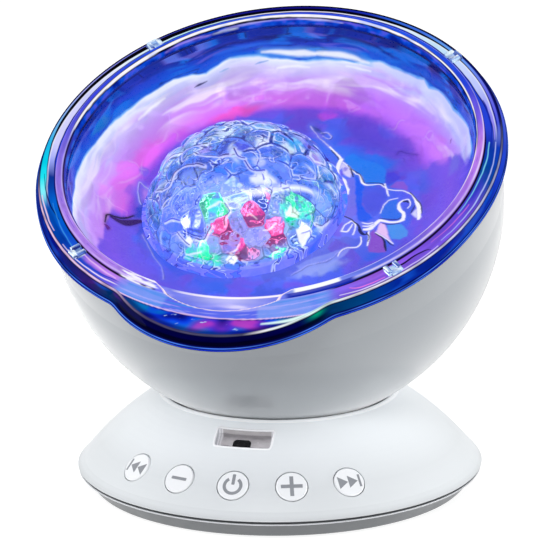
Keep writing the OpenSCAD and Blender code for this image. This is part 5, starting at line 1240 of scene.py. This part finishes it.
def board_paint(V):
    x, y = V[:, 0] - LX, V[:, 1] - LY
    r = np.hypot(x, y)
    n = fbm(V * 0.16 + 13, 3)
    m = fbm(V * 0.4 + 53, 3)
    c = ramp(r / 21.7 + 0.14 * n, [(0, (172, 168, 240)), (0.3, (156, 158, 244)), (0.6, (136, 150, 246)), (0.85, (112, 136, 242)), (1.05, (84, 110, 236))])
    c = mixc(c, lin(206, 204, 255), 0.6 * smooth(0.15, 0.5, m))
    c = mixc(c, lin(84, 108, 228), 0.6 * smooth(0.15, 0.5, -m))
    ang = np.degrees(np.arctan2(y, x))
    # painted light: a pale arc of painted highlight, pools of painted light round the LEDs, then pale painted lines and
    # dark lines of painted shade
    c = mixc(c, lin(255, 252, 255), 0.85 * band(r, 16.8, 1.5, 1.6) * band(ang, 68, 44, 14) * smooth(-0.45, 0.1, m))
    for group, col, size in ((RED, (240, 60, 136), 3.2), (GREEN, (0, 240, 140), 4.4), (WHITE, (255, 255, 255), 1.7)):
        for rr, a in group:
            d = np.hypot(x - rr * math.cos(math.radians(a)), y - rr * math.sin(math.radians(a)))
            c = mixc(c, lin(*col), 0.95 * np.exp(-(d / size) ** 2))
    l1, l2 = fbm(V * 0.42 + 23, 2), fbm(V * 0.36 + 67, 2)
    c = mixc(c, lin(250, 244, 255), 0.7 * smooth(0.075, 0.02, np.abs(l1)) * smooth(-0.2, 0.2, l2))
    c = mixc(c, c * 0.25, 0.8 * smooth(0.07, 0.02, np.abs(l2)))
    return np.clip(c, 0, 1.2)


def build_board():
    prof = [(0, -16.0)] + [(r, -16.0) for r in np.linspace(0.3, 21.3, 90)] + [(21.55, -16.1), (21.7, -16.3), (21.7, -17.5), (21.5, -17.6), (10, -17.6), (0, -17.6)]
    ob = lathe("led_board_lit", prof, seg=360, cx=LX, cy=LY, paint=board_paint)
    cover(ob, painted("board_glow", base=0.15, glow=1.0, rough=0.3, coat=0.0, fleck=0.1, fleck_scale=300))
    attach(ob, "head")
    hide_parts("led_board")
    return ob


# ---------------------------------------------------------------- base: seat lip, parting bead, remote window
def slope_at(r):
    """Height and outward normal (r, z) of the base's top slope at radius r."""
    a, b = np.array([31.4, 26.3]), np.array([52.5, 8.15])
    d = b - a
    n = np.array([-d[1], d[0]]) / np.hypot(*d)
    s = np.linspace(0, 1, 400)
    pts = a + d * s[:, None] + n * (1.23 * 4 * s * (1 - s))[:, None]
    tan = d + n * (4 * 1.23 * (1 - 2 * s))[:, None]
    nor = np.stack([-tan[:, 1], tan[:, 0]], -1) / np.hypot(tan[:, 0], tan[:, 1])[:, None]
    return np.interp(r, pts[:, 0], pts[:, 1]), np.array([np.interp(r, pts[:, 0], nor[:, k]) for k in (0, 1)])


def build_seat_lip(material):
    """The rounded rim of the seat in which the bowl turns."""
    prof = [(32.3, 25.72), (31.95, 26.02), (31.6, 26.24), (31.3, 26.33), (31.05, 26.32), (30.85, 26.2), (30.5, 25.92), (30.2, 25.62), (30.3, 25.3), (31.2, 25.1), (32.0, 25.3)]
    ob = lathe("seat_lip", prof, seg=256, place=Matrix.Identity(4), sharp=60)
    cover(ob, material)
    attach(ob, "base")


def build_parting_bead(material):
    """The thin bead along the top edge of the lower shell, under the parting line."""
    prof = [(53.2, 5.06), (53.72, 4.98), (53.96, 5.03), (54.04, 5.14), (54.0, 5.26), (53.82, 5.35), (53.4, 5.38)]
    ob = lathe("parting_bead", prof, seg=256, place=Matrix.Identity(4), sharp=60)
    cover(ob, material)
    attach(ob, "base")


def build_window_trim(m_edge, m_end):
    """A fine rounded edge round the remote window, and the window's moulded ends, light grey with a painted glow in
    place of clear plastic.
    """
    path = []
    for x, r in curve([(-7.0, 34.5), (-3.5, 34.5), (0, 34.5), (3.5, 34.5), (7.0, 34.5), (7.4, 34.62), (7.5, 35.0), (7.5, 36.0), (7.5, 37.6), (7.48, 38.5), (7.3, 39.0), (6.85, 39.2),
                       (3.5, 39.2), (0, 39.2), (-3.5, 39.2), (-6.85, 39.2), (-7.3, 39.0), (-7.48, 38.5), (-7.5, 37.6), (-7.5, 36.0), (-7.5, 35.0), (-7.4, 34.62)], 5)[:-1]:
        z, n = slope_at(r)
        a = math.asin(x / r)
        path.append((np.array([x, -r * math.cos(a), float(z)]), np.array([n[0] * math.sin(a), -n[0] * math.cos(a), n[1]])))
    pts = np.array([p for p, _ in path])
    tan = np.roll(pts, -1, 0) - np.roll(pts, 1, 0)
    tan /= np.linalg.norm(tan, axis=1, keepdims=True)
    prof = [(-0.42, -0.2), (-0.46, -0.02), (-0.36, 0.07), (-0.18, 0.12), (0.0, 0.1), (0.1, 0.0), (0.1, -0.3), (-0.05, -0.35)]
    V = []
    for (p, n), tg in zip(path, tan):
        side = np.cross(tg, n)
        if side @ (np.array([0, -36.7, 22.0]) - p) < 0:
            side = -side
        V += [p + side * b + n * h for b, h in prof]
    rows, k = len(path), len(prof)
    faces = [(i * k + j, i * k + (j + 1) % k, ((i + 1) % rows) * k + (j + 1) % k, ((i + 1) % rows) * k + j) for i in range(rows) for j in range(k)]
    ob = make("window_edge", V, faces, Matrix.Identity(4), sharp=50)
    cover(ob, m_edge)
    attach(ob, "base")
    V, F = [], []
    for x0, x1 in ((-7.25, -6.3), (6.75, 7.25)):
        v, f = block(x0, x1, -38.9, -36.9, 14.2, 18.6, 0.2)
        o = sum(len(q) for q in V)
        V.append(v)
        F += [[i + o for i in q] for q in f]
    ob = make("window_ends", np.concatenate(V), F, Matrix.Identity(4), sharp=25)
    cover(ob, m_end)
    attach(ob, "base")


def slab(front, back):
    """Closed thin sheet between two grids of points of the same shape, as points and faces."""
    n, m = front.shape[:2]
    V = np.concatenate([front.reshape(-1, 3), back.reshape(-1, 3)])
    o = n * m
    F = []
    for i in range(n - 1):
        for j in range(m - 1):
            a, b, c, d = i * m + j, i * m + j + 1, (i + 1) * m + j + 1, (i + 1) * m + j
            F += [(a, b, c, d), (o + d, o + c, o + b, o + a)]
    edge = [j for j in range(m)] + [i * m + m - 1 for i in range(1, n)] + [(n - 1) * m + j for j in range(m - 2, -1, -1)] + [i * m for i in range(n - 2, 0, -1)]
    F += [(b, a, o + a, o + b) for a, b in zip(edge, edge[1:] + edge[:1])]
    return V, F


def build_window_shade_sheet():
    """A thin sheet close behind the remote window that carries painted light and shade: painted shade under its top
    edge, paler towards the lower right, painted light at both ends, small painted glints and a dark lower part.
    """
    low = []
    for r in np.linspace(35.62, 39.9, 46):
        z, n = slope_at(r)
        low.append((r - 1.6 * n[0], float(z) - 1.6 * n[1]))
    wall = [(34.6, z) for z in np.linspace(24.05, low[0][1] + 0.12, 22)]
    path = np.array(wall + low)
    run = np.concatenate([[0], np.cumsum(np.hypot(*np.diff(path, axis=0).T))])
    u = run / run[-1]
    tan = np.gradient(path, axis=0)
    nor = np.stack([tan[:, 1], -tan[:, 0]], -1) / np.hypot(tan[:, 0], tan[:, 1])[:, None]
    x = np.linspace(-7.28, 7.28, 110)
    grids = []
    for d in (0.0, 0.12):
        r = path[:, 0] + d * nor[:, 0]
        z = path[:, 1] + d * nor[:, 1]
        R, X = np.meshgrid(r, x, indexing="ij")
        Z = np.repeat(z[:, None], len(x), 1)
        grids.append(np.stack([X, -np.sqrt(R ** 2 - X ** 2), Z], -1))
    V, F = slab(grids[0], grids[1])
    U = np.tile(np.repeat(u, len(x)), 2)
    X = np.tile(np.tile(x, len(u)), 2)
    haze = fbm(V * np.array([0.35, 1.1, 1.1]) + 9, 3)
    c = ramp(U + 0.03 * haze, [(0.0, (178, 176, 178)), (0.1, (180, 178, 180)), (0.17, (152, 150, 153)), (0.25, (150, 148, 151)), (0.34, (180, 178, 181)), (0.45, (192, 190, 193)), (0.6, (206, 204, 207)), (0.68, (208, 206, 209)), (0.7, (84, 82, 86)), (0.76, (70, 68, 72)), (1.0, (70, 68, 72))])
    c = mixc(c, lin(214, 213, 216), 0.6 * smooth(0, 6, X) * smooth(0.3, 0.5, U) * (U < 0.69))
    c = mixc(c, lin(238, 239, 242), 0.9 * smooth(-5.9, -6.5, X + 0.15 * haze))
    c = mixc(c, lin(176, 178, 184), 0.8 * band(X, -6.75, 0.08, 0.12))
    c = mixc(c, lin(222, 223, 228), 0.9 * smooth(6.6, 6.9, X + 0.1 * haze))
    c = c * (1 + 0.08 * haze)[:, None]
    for x0, u0, w in ((-1.5, 0.37, 0.16), (-0.3, 0.38, 0.13), (0.5, 0.385, 0.17), (3.6, 0.46, 0.12), (-2.6, 0.42, 0.1)):
        c = mixc(c, lin(244, 244, 248), 0.9 * np.exp(-(((X - x0) / w) ** 2 + ((U - u0) * run[-1] / w) ** 2) * 0.8))
    ob = make("window_shade_sheet", V, F, Matrix.Identity(4), sharp=40, paint=np.clip(c, 0, 1))
    cover(ob, painted("shade_sheet_grey", base=0.55, glow=0.55, rough=0.45, coat=0.0, fleck=0.05, fleck_scale=500, spec=0.2))
    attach(ob, "base")


# ---------------------------------------------------------------- button symbols
def at_button(i):
    r, z, lean = 47.7, 13.49, 45.65
    return Matrix.Rotation(math.radians(18.3 * i), 4, "Z") @ Matrix.Translation((0, -r * MM, z * MM)) @ Matrix.Rotation(math.radians(lean), 4, "X")


def prisms(name, shapes, z0, z1, place):
    """Flat shapes (lists of (x, y) in mm) as thin closed plates."""
    V, faces = [], []
    for pts in shapes:
        n, o = len(pts), len(V)
        V += [(x, y, z0) for x, y in pts] + [(x, y, z1) for x, y in pts]
        faces.append(tuple(range(o + n, o + 2 * n)))
        faces.append(tuple(reversed(range(o, o + n))))
        faces += [(o + k, o + (k + 1) % n, o + n + (k + 1) % n, o + n + k) for k in range(n)]
    return make(name, V, faces, place, sharp=30)


def bar(x0, y0, x1, y1, r=0.25):
    """Rectangle with rounded corners."""
    pts = []
    for cx, cy, a0 in ((x1 - r, y1 - r, 0), (x0 + r, y1 - r, 90), (x0 + r, y0 + r, 180), (x1 - r, y0 + r, 270)):
        pts += [(cx + r * math.cos(math.radians(a0 + a)), cy + r * math.sin(math.radians(a0 + a))) for a in (0, 30, 60, 90)]
    return pts


def icon_shapes(kind):
    if kind == "previous":
        return [bar(-3.1, -1.75, -2.5, 1.75, 0.1), [(-2.3, 0), (0.25, -1.75), (0.25, 1.75)], [(0.4, 0), (3.0, -1.75), (3.0, 1.75)]]
    if kind == "next":
        return [[(-x, y) for x, y in reversed(s)] for s in icon_shapes("previous")]
    if kind == "minus":
        return [bar(-2.25, -0.42, 2.25, 0.42, 0.2)]
    if kind == "plus":
        w, l = 0.5, 2.8
        return [[(l, -w), (l, w), (w, w), (w, l), (-w, l), (-w, w), (-l, w), (-l, -w), (-w, -w), (-w, -l), (w, -l), (w, -w)]]
    arc = []
    angs = np.radians(np.linspace(90 + 34, 360 + 90 - 34, 40))
    arc += [(2.6 * math.cos(a), 2.6 * math.sin(a) - 0.2) for a in angs]
    arc += [(1.75 * math.cos(a), 1.75 * math.sin(a) - 0.2) for a in angs[::-1]]
    return [arc, bar(-0.42, 0.1, 0.42, 3.1, 0.2)]


def build_icons(material):
    for i, (body, kind) in zip((-2, -1, 0, 1, 2), (("button_previous", "previous"), ("button_volume_down", "minus"), ("button_power", "power"), ("button_volume_up", "plus"), ("button_next", "next"))):
        ob = prisms("symbol_" + kind, icon_shapes(kind), 0.1, 0.19, at_button(i))
        cover(ob, material)
        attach(ob, body)


# ---------------------------------------------------------------- build
build_ring()
build_window()
build_clips()
build_liner()
build_lens()
build_board()

WHITE_SHELL = plastic("white_satin", (236, 238, 241), 0.4, 0.008, 1500, 0.00002, 0.05)
GREY_SHELL = plastic("grey_satin", (98, 101, 104), 0.42, 0.03, 1500, 0.00002, 0.08)
# the bowl: white plastic darkened to grey as painted shade, with a satin coat and sheen
m_bowl = plastic("bowl_white_painted_shade", (144, 149, 154), 0.34, 0.008, 1500, 0.00002, 0.04, coat=0.6, coat_rough=0.16, spread=0.02)
p_bowl = m_bowl.node_tree.nodes["Principled BSDF"]
p_bowl.inputs["Sheen Weight"].default_value = 0.95
p_bowl.inputs["Sheen Roughness"].default_value = 0.3
put(m_bowl, "bowl_shell")
# the base's top shell: white plastic with a painted glow that grows towards the top, where the bowl overhangs it, and
# painted shade darkening its lower edge
m_bw = plastic("base_white_painted_glow_and_shade", (212, 216, 219), 0.4, 0.008, 1500, 0.00002, 0.05)
nt_bw = m_bw.node_tree
p_bw = nt_bw.nodes["Principled BSDF"]
tc_bw = nt_bw.nodes.new("ShaderNodeTexCoord")
sep_bw = nt_bw.nodes.new("ShaderNodeSeparateXYZ")
nt_bw.links.new(tc_bw.outputs["Object"], sep_bw.inputs[0])
nt_bw.links.new(map_range(nt_bw, sep_bw.outputs["Z"], 0.0, 0.25, 0.013, 0.026), p_bw.inputs["Emission Strength"])
shade_bw = nt_bw.nodes.new("ShaderNodeVectorMath")
shade_bw.operation = "SCALE"
nt_bw.links.new(p_bw.inputs["Base Color"].links[0].from_socket, shade_bw.inputs[0])
nt_bw.links.new(map_range(nt_bw, sep_bw.outputs["Z"], 0.8, 1.0, 0.0061, 0.0074), shade_bw.inputs["Scale"])
nt_bw.links.new(shade_bw.outputs[0], p_bw.inputs["Base Color"])
p_bw.inputs["Emission Color"].default_value = (0.93, 0.97, 1.0, 1)
put(m_bw, "base_upper")
put(GREY_SHELL, "base_lower")
put(plastic("button_satin", (234, 236, 239), 0.4, 0.008, 1500, 0.00002, 0.06),
    "button_previous", "button_volume_down", "button_power", "button_volume_up", "button_next")
put(plastic("socket_white", (225, 226, 230), 0.4, 0.02), "socket_dish", "key_bracket", "friction_shoe")
# the seat lip: white plastic with a painted glow that lightens it
m_lip = plastic("seat_lip_white_painted_glow", (236, 238, 241), 0.4, 0.008, 1500, 0.00002, 0.05)
p_lip = m_lip.node_tree.nodes["Principled BSDF"]
p_lip.inputs["Emission Color"].default_value = (0.93, 0.97, 1.0, 1)
p_lip.inputs["Emission Strength"].default_value = 0.22
build_seat_lip(m_lip)
build_parting_bead(plastic("bead_satin", (196, 198, 202), 0.36, 0.01, 1500, 0.00002, 0.05))

# the light inside the head, caught by the frame, gear and washer: patches of blue with thin bright and dark edges
m_frame, nt_f, p_f = new_mat("frame_lit")
n_f = noise_node(nt_f, 95, 2, 0.5, 1.3)
c_f = colour_ramp(nt_f, n_f.outputs["Fac"], [(0.3, tuple(lin(64, 108, 234))), (0.42, tuple(lin(108, 122, 240))), (0.445, tuple(lin(18, 30, 140))), (0.455, tuple(lin(226, 230, 255))), (0.47, tuple(lin(122, 132, 243))),
                                             (0.56, tuple(lin(146, 144, 247))), (0.575, tuple(lin(34, 44, 170))), (0.59, tuple(lin(100, 124, 240))), (0.72, tuple(lin(64, 132, 242)))])
nt_f.links.new(c_f, p_f.inputs["Base Color"])
nt_f.links.new(c_f, p_f.inputs["Emission Color"])
p_f.inputs["Emission Strength"].default_value = 0.75
p_f.inputs["Specular IOR Level"].default_value = 0.2
nt_f.links.new(map_range(nt_f, n_f.outputs["Fac"], 0.3, 0.5), p_f.inputs["Roughness"])
put(m_frame, "inner_frame", "lens_gear", "thrust_washer")
put(plastic("pinion_plastic", (232, 228, 214), 0.4, 0.03), "motor_pinion")
put(plastic("steel", (196, 198, 202), 0.3, 0.05, 1500, 0.00002, 0.3, metal=1.0), "frame_screws", "motor_screws", "base_screws", "board_screws", "socket_screws", "motor_shaft", "wave_washer")
put(plastic("motor_can", (168, 170, 174), 0.36, 0.06, 1200, 0.00003, 0.3, metal=1.0), "lens_motor", "speaker_basket", "speaker_magnet")
put(plastic("brass", (205, 170, 96), 0.3, 0.06, 1200, 0.00003, 0.3, metal=1.0), "pivot_tube", "pivot_nut")
put(plastic("rubber_grey", (92, 94, 98), 0.75, 0.08, 1600, 0.00006, 0.5, spec=0.25), "rubber_feet")
put(plastic("paper_cone", (40, 40, 44), 0.8, 0.15, 1400, 0.0001, 0.5, spec=0.2), "speaker_cone")
put(plastic("board_green", (24, 92, 58), 0.45, 0.12, 800, 0.00005, 0.4), "main_board")
put(plastic("black_plastic", (18, 18, 21), 0.25, 0.2, 1200, 0.00004, 0.2), "board_chips", "ir_receiver", "aux_jack", "key_switches")
put(plastic("socket_metal", (188, 190, 194), 0.28, 0.05, 1400, 0.00002, 0.3, metal=1.0), "usb_socket", "card_slot")

# the remote window's pocket: matt grey, lighter towards its floor, with the light that comes through the window
m_pk, nt_pk, p_pk = new_mat("pocket_grey")
tc_pk = nt_pk.nodes.new("ShaderNodeTexCoord")
sep_pk = nt_pk.nodes.new("ShaderNodeSeparateXYZ")
nt_pk.links.new(tc_pk.outputs["Object"], sep_pk.inputs[0])
n_pk = noise_node(nt_pk, 260, 3)
add_pk = nt_pk.nodes.new("ShaderNodeMath")
add_pk.operation = "ADD"
nt_pk.links.new(map_range(nt_pk, sep_pk.outputs["Z"], 0.0, 1.0, 0.0145, 0.0235), add_pk.inputs[0])
nt_pk.links.new(map_range(nt_pk, n_pk.outputs["Fac"], -0.1, 0.1), add_pk.inputs[1])
c_pk = colour_ramp(nt_pk, add_pk.outputs[0], [(0.0, tuple(lin(188, 188, 195))), (0.45, tuple(lin(164, 163, 171))), (0.8, tuple(lin(132, 132, 141))), (1.0, tuple(lin(112, 112, 122)))])
nt_pk.links.new(c_pk, p_pk.inputs["Base Color"])
nt_pk.links.new(c_pk, p_pk.inputs["Emission Color"])
p_pk.inputs["Emission Strength"].default_value = 0.7
p_pk.inputs["Roughness"].default_value = 0.6
put(m_pk, "ir_pocket")
put(clear_mat("smoke_window", (241, 240, 241), 1.45, 0.05, 0.5), "ir_window")
# the window's ends: light grey plastic with a painted glow
m_end = plastic("window_end_painted_glow", (226, 228, 234), 0.15, 0.05, 700, 0.00005, 0.2)
p_end = m_end.node_tree.nodes["Principled BSDF"]
p_end.inputs["Emission Color"].default_value = (0.74, 0.75, 0.79, 1)
p_end.inputs["Emission Strength"].default_value = 0.55
build_window_trim(plastic("window_edge_white", (246, 247, 250), 0.25, 0.01, 1500, 0.00002, 0.05), m_end)
put(glowing("led_red_glow", (216, 8, 96), (255, 150, 196), 1.1), "leds_red")
put(glowing("led_green_glow", (0, 214, 120), (216, 255, 232), 1.5), "leds_green")
put(glowing("led_white_glow", (88, 108, 238), (255, 255, 255), 0.95), "leds_white")
build_window_shade_sheet()
build_icons(plastic("symbol_grey", (138, 141, 147), 0.45, 0.06, 1500, 0.00002, 0.1))

# ---------------------------------------------------------------- floor and light
floor_me = bpy.data.meshes.new("floor")
floor_me.from_pydata([(-4, -4, 0), (4, -4, 0), (4, 4, 0), (-4, 4, 0)], [], [(0, 1, 2, 3)])
floor = bpy.data.objects.new("floor", floor_me)
scene.collection.objects.link(floor)
m_fl, nt_fl, p_fl = new_mat("floor_pale")
n_fl = noise_node(nt_fl, 3, 3)
nt_fl.links.new(colour_ramp(nt_fl, n_fl.outputs["Fac"], [(0.3, (0.34, 0.34, 0.34)), (0.7, (0.37, 0.37, 0.37))]), p_fl.inputs["Base Color"])
p_fl.inputs["Roughness"].default_value = 0.8
p_fl.inputs["Specular IOR Level"].default_value = 0.0
p_fl.inputs["Emission Color"].default_value = (1, 1, 1, 1)
tc_fl = nt_fl.nodes.new("ShaderNodeTexCoord")
dot_fl = nt_fl.nodes.new("ShaderNodeVectorMath")
dot_fl.operation = "DOT_PRODUCT"
dot_fl.inputs[1].default_value = (0.257, -0.966, 0)
nt_fl.links.new(tc_fl.outputs["Object"], dot_fl.inputs[0])
nt_fl.links.new(map_range(nt_fl, dot_fl.outputs["Value"], 0.87, 0.4, 0.054, 0.2), p_fl.inputs["Emission Strength"])
cover(floor, m_fl)

world = bpy.data.worlds.new("studio")
scene.world = world
world.use_nodes = True
wn = world.node_tree
wtc = wn.nodes.new("ShaderNodeTexCoord")
wsep = wn.nodes.new("ShaderNodeSeparateXYZ")
wn.links.new(wtc.outputs["Generated"], wsep.inputs[0])
wn.links.new(map_range(wn, wsep.outputs["Y"], 0.12, 0.85, -0.75, 0.75), wn.nodes["Background"].inputs["Strength"])
wn.nodes["Background"].inputs["Color"].default_value = (1, 1, 1, 1)


def light(name, at, aim, size, power):
    d = bpy.data.lights.new(name, "AREA")
    d.shape = "DISK"
    d.size = size
    d.energy = power
    o = bpy.data.objects.new(name, d)
    scene.collection.objects.link(o)
    o.location = at
    o.rotation_mode = "QUATERNION"
    o.rotation_quaternion = (Vector(at) - Vector(aim)).to_track_quat("Z", "Y")
    return o


light("front_top", (0.1, -1.25, 1.08), (0, 0, 0.03), 0.7, 16.4)
light("side_left", (-1.2, -0.3, 0.18), (0, 0, 0.07), 0.7, 7.3)
light("side_right", (1.2, 0.25, 0.08), (0, 0, 0.07), 0.7, 11.5)


scene.view_settings.view_transform = "Standard"
scene.view_settings.look = "None"
